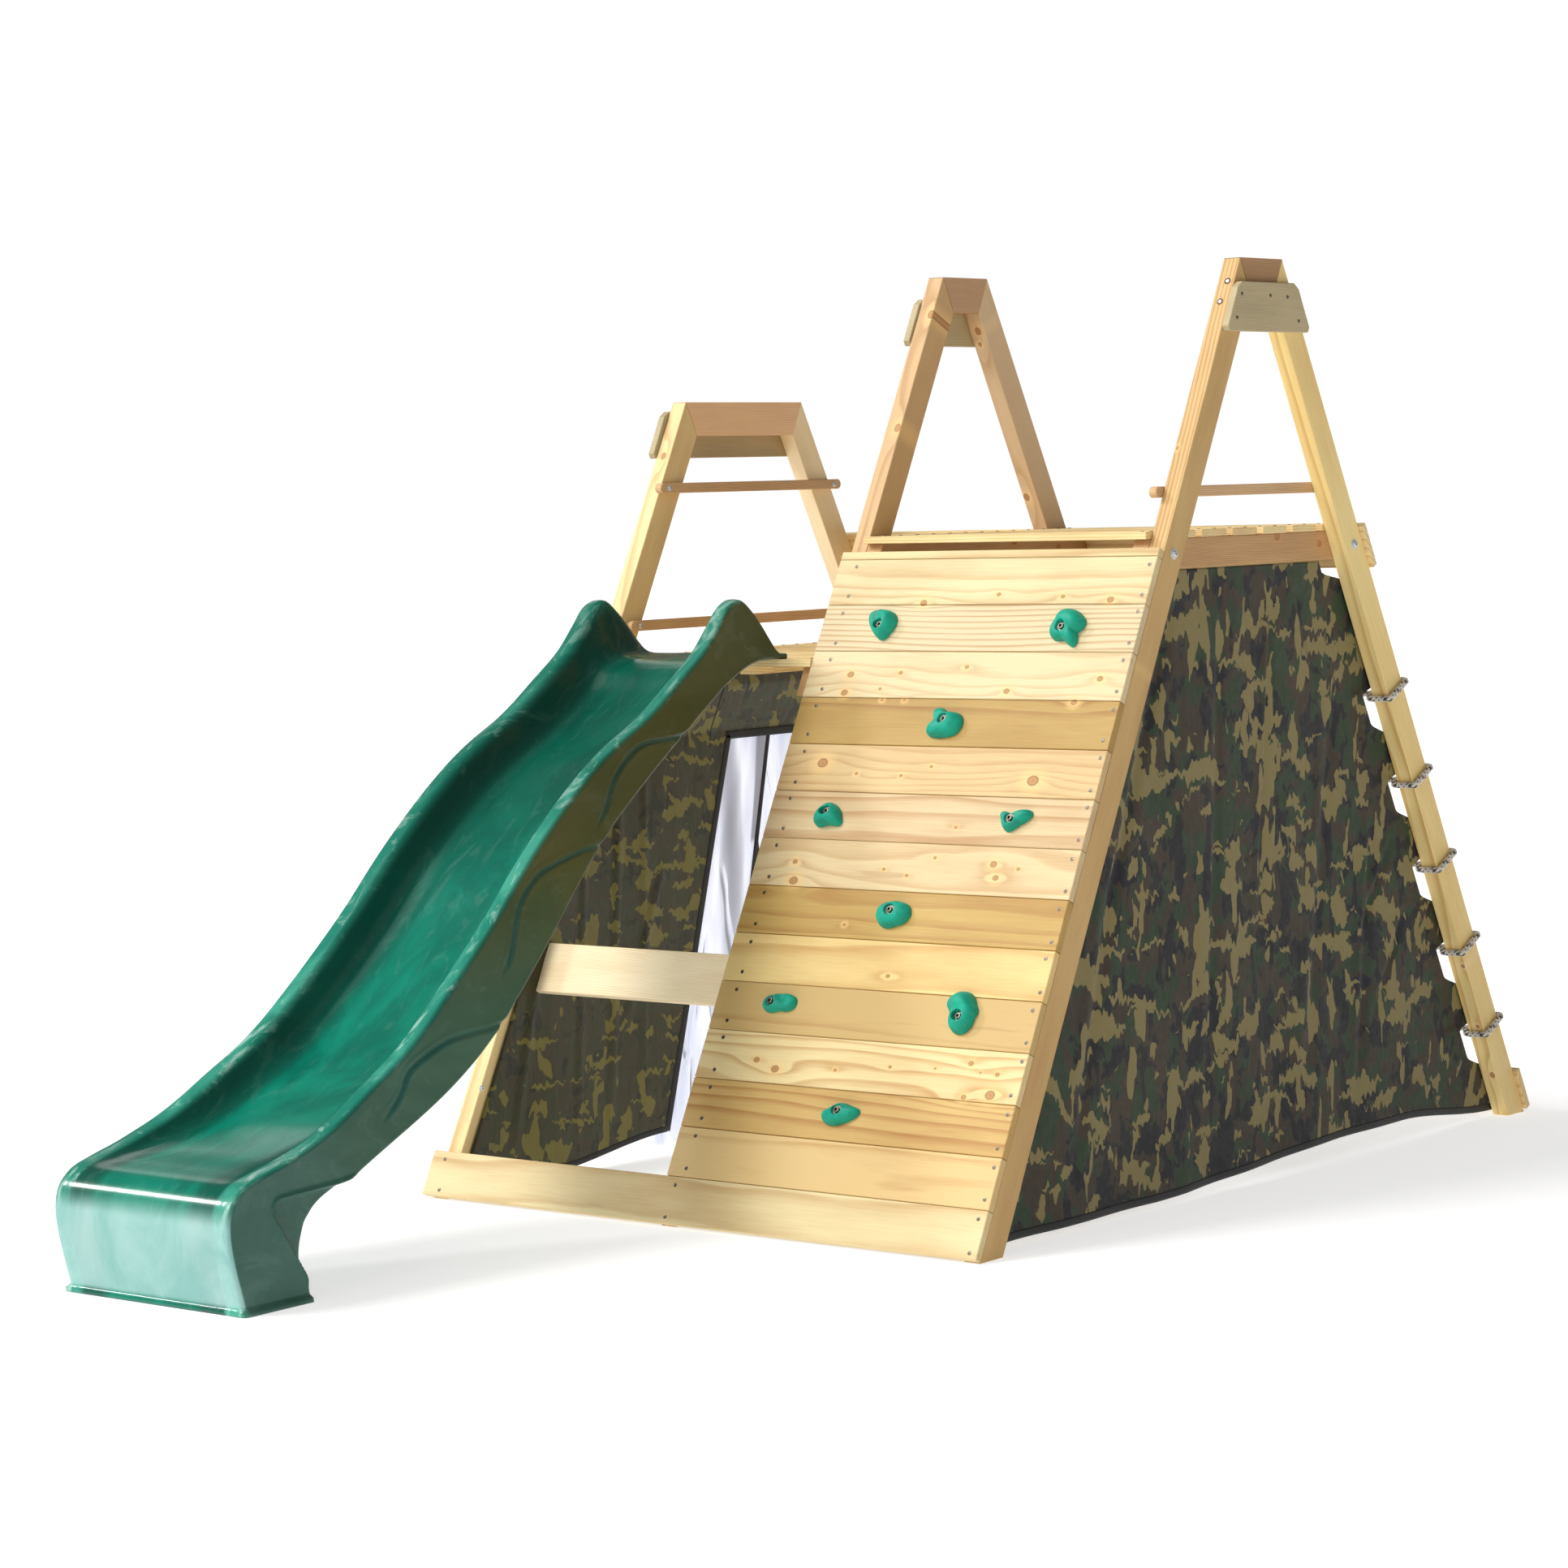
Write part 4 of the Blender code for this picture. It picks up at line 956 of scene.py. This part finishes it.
# ---- cloth
def camouflage(name, tones, gloss, scale, edges, haze):
    """Four-colour print on coated cloth. tones: ground, second, dark, pale."""
    g = Graph(name)
    fray = [g.add(g.noise(g.scaled(g.place, (50, 70, 26), shift), 1.0, 1.0, 0.5), -0.5)
            for shift in ((2, 9, 4), (8, 3, 1))]
    frayed = g.call("ShaderNodeVectorMath", 0, {
        0: g.scaled(g.place, (scale[0], scale[0], scale[1])),
        1: g.vector(0.0, g.times(fray[0], 0.22), g.times(fray[1], 0.75))}, operation="ADD")
    ground, second, dark, pale = tones
    colour = ground
    for shift, edge, tone in (((3, 1, 7), edges[0], second), ((11, 5, 2), edges[1], dark),
                              ((5, 17, 9), edges[2], pale)):
        cloud = 0.0
        for lie, offset in (((1.0, 1.22, 0.66), 0.0), ((1.0, 0.62, 1.25), 4.0)):
            turned = g.scaled(frayed, lie, tuple(v + offset for v in shift), (0.35 - 0.1 * offset, 0, 0))
            cloud = g.maths("MAXIMUM", cloud, g.noise(turned, 1.0, 1.8, 0.5, 0.35))
        colour = g.mix(g.range(cloud, edge - 0.003, edge + 0.003), colour, tone)
    threads = g.times(g.wave(g.place, "Y", {"Scale": 320.0}), g.wave(g.place, "Z", {"Scale": 320.0}))
    crease = g.noise(g.scaled(g.place, (20, 26.0, 5.0)), 1.0, 4.0, 0.55, 0.6)
    fine = g.noise(g.place, 60.0, 3.0, 0.6)
    dust = g.noise(g.place, 3.0, 3.0, 0.6)
    colour = g.mix(g.range(dust, 0.45, 0.75, 0.0, haze), colour, srgb(150, 146, 118))
    normal = g.bump(threads, 0.0003, 0.25)
    normal = g.bump(g.add(g.times(crease, 2.4), g.times(fine, 0.5)), 0.004, 0.30, normal)
    return g.done(colour, g.range(fine, 0.3, 0.7, gloss, gloss + 0.14), normal,
                  Specular_IOR_Level=0.36, Sheen_Weight=0.05, Sheen_Roughness=0.5)


RIGHT_PRINT = camouflage("right_camouflage", (srgb(45, 61, 40), srgb(62, 52, 39), srgb(32, 30, 34),
                                              srgb(134, 121, 76)), 0.56, (15.0, 14.5),
                         (0.545, 0.592, 0.604), 0.05)
LEFT_PRINT = camouflage("left_camouflage", (srgb(56, 58, 26), srgb(62, 55, 28), srgb(42, 42, 20),
                                            srgb(114, 106, 38)), 0.36, (14.0, 22.0),
                        (0.545, 0.63, 0.604), 0.03)
BAND = speckled("binding", (1400.0, 2.0), srgb(10, 11, 11), srgb(28, 29, 28), (0.62, 0.62), 0.0004,
                Sheen_Weight=0.1)


def rippled(y, z, seed, lines):
    """How far hanging cloth stands off its plane: broad waves and sharper creases."""
    y, z = np.asarray(y, dtype=float), np.asarray(z, dtype=float)
    out = np.zeros(np.broadcast(y, z).shape)
    pick = random.Random(seed)
    for _ in range(5):
        ky, kz, phase = pick.uniform(2.0, 8.0), pick.uniform(-1.5, 1.5), pick.uniform(0, 6.28)
        out = out + pick.uniform(0.5, 1.0) * np.sin(ky * y * pi + kz * z * pi + phase)
    out *= 0.0012
    for y0, z0, y1, z1, wide, deep in lines:
        dy, dz = y1 - y0, z1 - z0
        size = hypot(dy, dz)
        t = ((y - y0) * dy + (z - z0) * dz) / size ** 2
        off = ((y - y0) * dz - (z - z0) * dy) / size
        fade = smooth(-0.05, 0.18, t) * (1 - smooth(0.75, 1.08, t))
        fold = np.exp(-(off / wide) ** 2) - 0.6 * np.exp(-((off - 1.9 * wide) / wide) ** 2)
        out = out + deep * fade * fold
    return out


def cloth_grid(us, vs, spot_at, keep=None):
    """Points and faces of a sheet over two parameters, in the row frame."""
    U, V = np.meshgrid(us, vs)
    x, y, z = spot_at(U, V)
    points = np.stack([x + BASE[0], y + BASE[1], z], axis=2).reshape(-1, 3)
    cols = len(us)
    faces = []
    for r in range(len(vs) - 1):
        for c in range(cols - 1):
            if keep is None or keep(r, c):
                first = r * cols + c
                faces.append((first, first + 1, first + cols + 1, first + cols))
    return points, faces


def drop_loose(points, faces):
    used = sorted({i for f in faces for i in f})
    index = {old: new for new, old in enumerate(used)}
    return points[used], [tuple(index[i] for i in f) for f in faces]


TARP_THICKNESS = 0.0012
# Right wall of the den: hangs inside the right frame, cut back at each net rope.
NET_ROWS, NET_TOP, NET_SPACING = 5, 1.045, 0.208
RIGHT_TOP = 1.369
RIGHT_PLANE = -LEG_WIDTH - 0.0038
RIGHT_CREASES = ((-0.30, 1.30, -0.62, 0.55, 0.020, 0.0055), (-0.36, 1.32, -0.86, 0.40, 0.012, 0.0040),
                 (0.18, 1.34, 0.34, 0.95, 0.016, 0.0040), (-0.12, 1.34, -0.20, 0.20, 0.018, 0.0030),
                 (0.36, 1.10, 0.20, 0.15, 0.022, 0.0034), (0.10, 1.34, 0.02, 0.55, 0.010, 0.0026),
                 (0.52, 0.80, 0.42, 0.08, 0.014, 0.0040), (-0.55, 0.70, -0.75, 0.05, 0.018, 0.0036),
                 (0.66, 0.56, 0.50, 0.30, 0.010, 0.0036), (0.60, 0.72, 0.44, 0.48, 0.010, 0.0034))


def right_edge(z):
    edge = inner_face(z) + 0.028
    for row in range(NET_ROWS):
        step = z - (NET_TOP - row * NET_SPACING)
        edge = edge - 0.065 * smooth(-0.094, -0.058, step) * (1 - smooth(0.008, 0.034, step))
    scoop = smooth(RIGHT_TOP - 0.050, RIGHT_TOP - 0.026, z)
    return edge - 0.088 * scoop


def right_spot(u, v):
    hem = 0.012 + 0.032 * smooth(0.30, 0.72, u) * (1 - smooth(0.80, 0.985, u))
    z = hem + (RIGHT_TOP - hem) * v
    y = (-inner_face(z) - 0.030) * (1 - u) + right_edge(z) * u
    held = smooth(0.0, 0.06, u) * (1 - smooth(0.95, 1.0, u)) * (1 - smooth(0.93, 1.0, v))
    ripple = rippled(y, z, 5, RIGHT_CREASES)
    out = np.clip(0.0035 + ripple * 1.7, 0.0, 0.019) * held
    return RIGHT_PLANE - out, y, z


points, faces = cloth_grid(np.linspace(0, 1, 150), np.linspace(0, 1, 260), right_spot)
right_cloth = thick_sheet("right_cloth", points, faces, RIGHT_PRINT, TARP_THICKNESS)
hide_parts("tarpaulin_right")
hem_u = np.linspace(0.002, 0.998, 90)
hem = np.stack(right_spot(hem_u, np.full(90, 0.004)), axis=1)
right_hem = ribbon("right_hem", from_corner(hem, 0.004), Z_AXIS, 0.008, 0.0030, BAND)

# Left wall of the den: hangs inside the left frame, over the beam, open at the door.
DOOR_HEAD, FOLD, BEAM_EDGE, LEFT_TOP = 0.975, 0.990, 1.097, 1.160
LEFT_PLANE = LEFT_X + 0.0038
LEFT_CREASES = ((-0.62, 0.98, -0.70, 0.05, 0.008, 0.0034), (-0.50, 0.98, -0.58, 0.05, 0.010, 0.0040),
                (-0.42, 1.00, -0.46, 0.10, 0.007, 0.0034), (-0.78, 0.62, -0.92, 0.05, 0.010, 0.0040),
                (0.55, 0.98, 0.68, 0.05, 0.010, 0.0038), (0.78, 0.60, 0.90, 0.05, 0.010, 0.0034),
                (-0.36, 0.70, -0.52, 0.30, 0.010, 0.0036), (-0.15, 1.05, -0.13, 0.98, 0.01, 0.002))


def door_side(z, side):
    return 0.036 + side * (0.424 - 0.296 * (np.minimum(z, DOOR_HEAD) - 0.008))


DOOR_ROW = 0.838
left_us = np.concatenate([np.linspace(0, 1, 60), 1 + np.linspace(0, 1, 44)[1:],
                          2 + np.linspace(0, 1, 60)[1:]])
left_vs = np.concatenate([np.linspace(0, DOOR_ROW, 130), np.linspace(DOOR_ROW, 1, 40)[1:]])


def left_spot(u, v):
    outer = np.clip(np.minimum(u, 3 - u), 0, 1)
    lift = 0.036 * smooth(0.45, 1.0, outer)
    low = 0.012 + lift
    z = np.where(v < DOOR_ROW, low + (DOOR_HEAD - low) * v / DOOR_ROW,
                 DOOR_HEAD + (LEFT_TOP - DOOR_HEAD) * (v - DOOR_ROW) / (1 - DOOR_ROW))
    front, rear = -(inner_face(z) + 0.050), inner_face(z) + 0.050
    a, b = door_side(z, -1), door_side(z, 1)
    y = np.where(u <= 1, front + (a - front) * u,
                 np.where(u <= 2, a + (b - a) * (u - 1), b + (rear - b) * (u - 2)))
    held = smooth(0.0, 0.10, u) * (1 - smooth(2.90, 3.0, u)) * (1 - smooth(0.80, 0.90, v))
    ripple = rippled(y, z, 9, LEFT_CREASES)
    out = np.clip(0.003 + ripple * 1.2, 0.0, 0.014) * held
    over = LEG_WIDTH * np.clip((z - FOLD) / (BEAM_EDGE - FOLD), 0, 1)
    return LEFT_PLANE + over + out, y, z


def left_keep(r, c):
    return not (left_vs[r + 1] <= DOOR_ROW + 1e-9 and 1 <= (left_us[c] + left_us[c + 1]) / 2 <= 2)


points, faces = drop_loose(*cloth_grid(left_us, left_vs, left_spot, left_keep))
left_cloth = thick_sheet("left_cloth", points, faces, LEFT_PRINT, TARP_THICKNESS)
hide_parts("tarpaulin_left")


def left_band(name, us, vs, across, half=0.0100):
    line = np.stack(left_spot(np.array(us, dtype=float), np.array(vs, dtype=float)), axis=1)
    return ribbon(name, from_corner(line), across, half, 0.0034, BAND)


up = np.linspace(0.002, DOOR_ROW, 60)
left_bands = [
    left_band("door_binding_front", np.full(60, 0.999), up, Y_AXIS),
    left_band("door_binding_rear", np.full(60, 2.001), up, Y_AXIS),
    left_band("door_binding_head", np.linspace(0.98, 2.02, 30), np.full(30, DOOR_ROW + 0.001), Z_AXIS),
    left_band("left_hem_front", np.linspace(0.003, 0.998, 40), np.full(40, 0.006), Z_AXIS, 0.007),
    left_band("left_hem_rear", np.linspace(2.002, 2.997, 40), np.full(40, 0.006), Z_AXIS, 0.007),
    left_band("left_seam_front", np.full(40, 0.86), np.linspace(DOOR_ROW, 0.995, 40), Y_AXIS, 0.0016),
]

# ---- door curtains
def curtain_look():
    g = Graph("curtain_cloth")
    shade, fold = g.attribute("zone")[:2]
    lines = g.wave(g.place, "DIAGONAL", {"Scale": 150.0, "Distortion": 6.0, "Detail": 2.0,
                                         "Detail Scale": 0.6})
    cloud = g.noise(g.scaled(g.place, (4, 14, 3)), 1.0, 3.0, 0.5)
    plain = g.mix(g.range(cloud, 0.3, 0.7), srgb(240, 242, 248), srgb(222, 225, 236))
    # Painted shade in the creases.
    plain = g.mix(fold, plain, srgb(96, 94, 108))
    netted = g.mix(g.ramp(lines, (0.3, 0.0), (0.7, 1.0)), srgb(206, 206, 216),
                   srgb(122, 122, 134))
    weave = g.noise(g.place, 1500.0, 2.0)
    normal = g.bump(weave, 0.0003, 0.3)
    colour = g.mix(shade, plain, netted)
    g.put(g.shader.inputs["Emission Color"], colour)      # painted glow: the cloth emits its own colour, standing in for daylight through it
    look = g.done(colour, 0.72, normal, Sheen_Weight=0.25, Sheen_Roughness=0.4,
                  Emission_Strength=0.52)
    glow = g.call("ShaderNodeBsdfTranslucent", 0, {"Color": colour})     # daylight through thin cloth
    g.put(g.surface, g.call("ShaderNodeMixShader", 0, {0: 0.45, 1: g.shader.outputs[0], 2: glow}))
    return look


CURTAIN_LOOK = curtain_look()


def build_curtain(name, side, plane, head_y, mid_y, foot_y, folds):
    """One half of the door curtain, in gathered folds. head_y, mid_y and foot_y are its inner edge."""
    bottom, head, cross = 0.016, 0.985, 0.770
    pick = random.Random(40 + side)
    creases = []
    for _ in range(26):
        y0, z0 = pick.uniform(-0.42, 0.08) * -side, pick.uniform(0.10, 0.98)
        creases.append((y0, z0, y0 + pick.uniform(-0.05, 0.07), z0 - pick.uniform(0.12, 0.40),
                        pick.uniform(0.0022, 0.0050), pick.uniform(0.0020, 0.0060)))

    def spot_at(u, v):
        z = bottom + (head - bottom) * v
        outer = door_side(z, side) + side * 0.020
        inner = np.interp(z, (bottom, cross, head), (foot_y, mid_y, head_y))
        y = outer + (inner - outer) * u
        held = smooth(0.0, 0.10, u) * (1 - smooth(0.96, 1.0, u))
        wave = np.sin(2 * pi * folds * u + 1.3 * np.sin(3.1 * z) + side)
        crease = rippled(y, z, 21 + side, creases)
        return plane - 0.010 + (0.0032 * (1 - 0.5 * v) * wave + crease) * held, y, z

    points, faces = cloth_grid(np.linspace(0, 1, 130), np.linspace(0, 1, 170), spot_at)
    y, z = points[:, 1] - BASE[1], points[:, 2]
    overlap = smooth(-0.004, 0.004, y - (0.003 + (0.770 - z) * -0.12)) \
        * (1 - smooth(-0.004, 0.004, y - (0.074 - (0.985 - z) * 0.21)))
    # fold: how deep each crease is, for painted shade in it.
    fold = np.clip((-rippled(y, z, 21 + side, creases) - 0.0026) / 0.0022, 0.0, 0.60)
    attribute = np.stack([overlap * smooth(0.70, 0.72, z), fold], axis=1)
    cloth = thick_sheet(name, points, faces, CURTAIN_LOOK, 0.0008, attribute)
    v = np.linspace(0.0, 1.0, 60)
    inner = np.stack(spot_at(np.full(60, 0.999), v), axis=1)
    band = ribbon(name + "_band", from_corner(inner), Y_AXIS, 0.0065, 0.0030, BAND)
    return cloth, band


front_curtain, front_band = build_curtain("front_curtain", -1, LEFT_X - 0.004, 0.076, 0.029, -0.139, 4.0)
rear_curtain, rear_band = build_curtain("rear_curtain", 1, LEFT_X - 0.022, 0.003, 0.029, 0.120, 4.5)
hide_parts("curtain_front")
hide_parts("curtain_rear")

# ---- rope net
def rope_look():
    g = Graph("rope_strands")
    shade, tracer = g.attribute("zone")[:2]
    fuzz = g.noise(g.place, 900.0, 3.0, 0.7)
    light = g.mix(g.range(fuzz, 0.3, 0.7), srgb(246, 240, 228), srgb(206, 198, 186))
    colour = g.mix(tracer, light, g.mix(fuzz, srgb(70, 62, 56), srgb(44, 40, 38)))
    colour = g.mix(g.range(shade, 0.55, 0.0, 0.0, 0.7), colour, srgb(64, 58, 52))
    return g.done(colour, 0.85, g.bump(fuzz, 0.0008, 0.6), Sheen_Weight=0.2)


ROPE_LOOK = rope_look()


ROPE_LAY = 0.040              # length of one turn of the strands


def rope(name, path, radius, closed=False, rings_per_metre=420, sides=20):
    """Braided rope along a path: eight strands crossing over, one of them dark."""
    path = np.array([tuple(p) for p in path], dtype=float)
    if closed:
        path = np.vstack([path, path[:1]])
    steps = np.concatenate([[0], np.cumsum(np.linalg.norm(np.diff(path, axis=0), axis=1))])
    count = max(8, int(steps[-1] * rings_per_metre))
    walk = np.linspace(0, steps[-1], count + 1)
    centre = np.stack([np.interp(walk, steps, path[:, k]) for k in range(3)], axis=1)
    if closed:
        centre = centre[:-1]
        walk = walk[:-1]
        ahead_of = np.roll(centre, -1, 0) - np.roll(centre, 1, 0)
    else:
        ahead_of = np.gradient(centre, axis=0)
    ahead_of /= np.linalg.norm(ahead_of, axis=1)[:, None]
    normal = Vector(ahead_of[0]).orthogonal().normalized()
    verts, tint = [], []
    turns = max(1, round(steps[-1] / ROPE_LAY)) if closed else steps[-1] / ROPE_LAY
    for i, c in enumerate(centre):
        t = Vector(ahead_of[i])
        normal = (normal - t * normal.dot(t)).normalized()
        other = t.cross(normal)
        twist = 2 * pi * turns * walk[i] / steps[-1]
        for k in range(sides):
            angle = 2 * pi * k / sides
            one, two = cos(3 * angle - 3 * twist), cos(3 * angle + 3 * twist)
            relief = max(one, two)
            r = radius * (0.90 + 0.13 * relief)
            verts.append(tuple(Vector(c) + normal * (r * cos(angle)) + other * (r * sin(angle))))
            dark = 1.0 if one >= two and cos(angle - twist) > 0.55 else 0.0
            tint.append((max(0.0, relief), dark))
    n = len(centre)
    faces = tube_faces(n, sides, closed) + ([] if closed else end_faces(n, sides))
    return outward(finish_mesh(name, verts, faces, ROPE_LOOK, True, np.array(tint)))


def net_point(x, s, out):
    return on_rear(BASE[0] - x, s, out)


def rounded(corners, radius, parts=5):
    """A closed path with its corners rounded."""
    path, n = [], len(corners)
    for i in range(n):
        p, a, b = Vector(corners[i]), Vector(corners[i - 1]), Vector(corners[(i + 1) % n])
        start, end = p + (a - p).normalized() * radius, p + (b - p).normalized() * radius
        for k in range(parts + 1):
            t = k / parts
            path.append(start * (1 - t) ** 2 + p * 2 * t * (1 - t) + end * t * t)
    return path


TIE_GAP = 0.0084              # from a leg's face to the middle of the rope tied round it
TIE_RADIUS, STRAND_RADIUS, UPRIGHT_RADIUS = 0.0072, 0.0066, 0.0058
levels = [((NET_TOP - row * NET_SPACING) + (LEG_DEPTH + 0.0074) * sin(TILT)) / cos(TILT)
          for row in range(NET_ROWS)]
strand_end, strand_start = LEG_WIDTH + 0.0074, -MIDDLE_X - 0.0074
SAG = 0.012
for row, s in enumerate(levels):
    span = np.linspace(0, 1, 30)
    line = [net_point(strand_start + (strand_end - strand_start) * t, s - SAG * 4 * t * (1 - t),
                      -0.054) for t in span]
    rope(f"net_rope_{row + 1}", line, STRAND_RADIUS)
    for label, face in (("right", 0.0), ("middle", MIDDLE_X)):
        left, right_x = -face - TIE_GAP, -face + LEG_WIDTH + TIE_GAP
        front, rear = -LEG_DEPTH - TIE_GAP, TIE_GAP
        corners = [net_point(x, s, d) for x, d in ((left, front), (right_x, front), (right_x, rear),
                                                   (left, rear))]
        rope(f"net_tie_{label}_{row + 1}", rounded(corners, 0.010), TIE_RADIUS, True)
for k, share in enumerate((0.25, 0.50, 0.75)):
    x = strand_end + share * (strand_start - strand_end)
    ends = [net_point(x, s, -0.0563) for s in (levels[-1] - 0.02, levels[0] + 0.002)]
    rope(f"net_upright_{k + 1}", ends, UPRIGHT_RADIUS)
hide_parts("cargo_net")
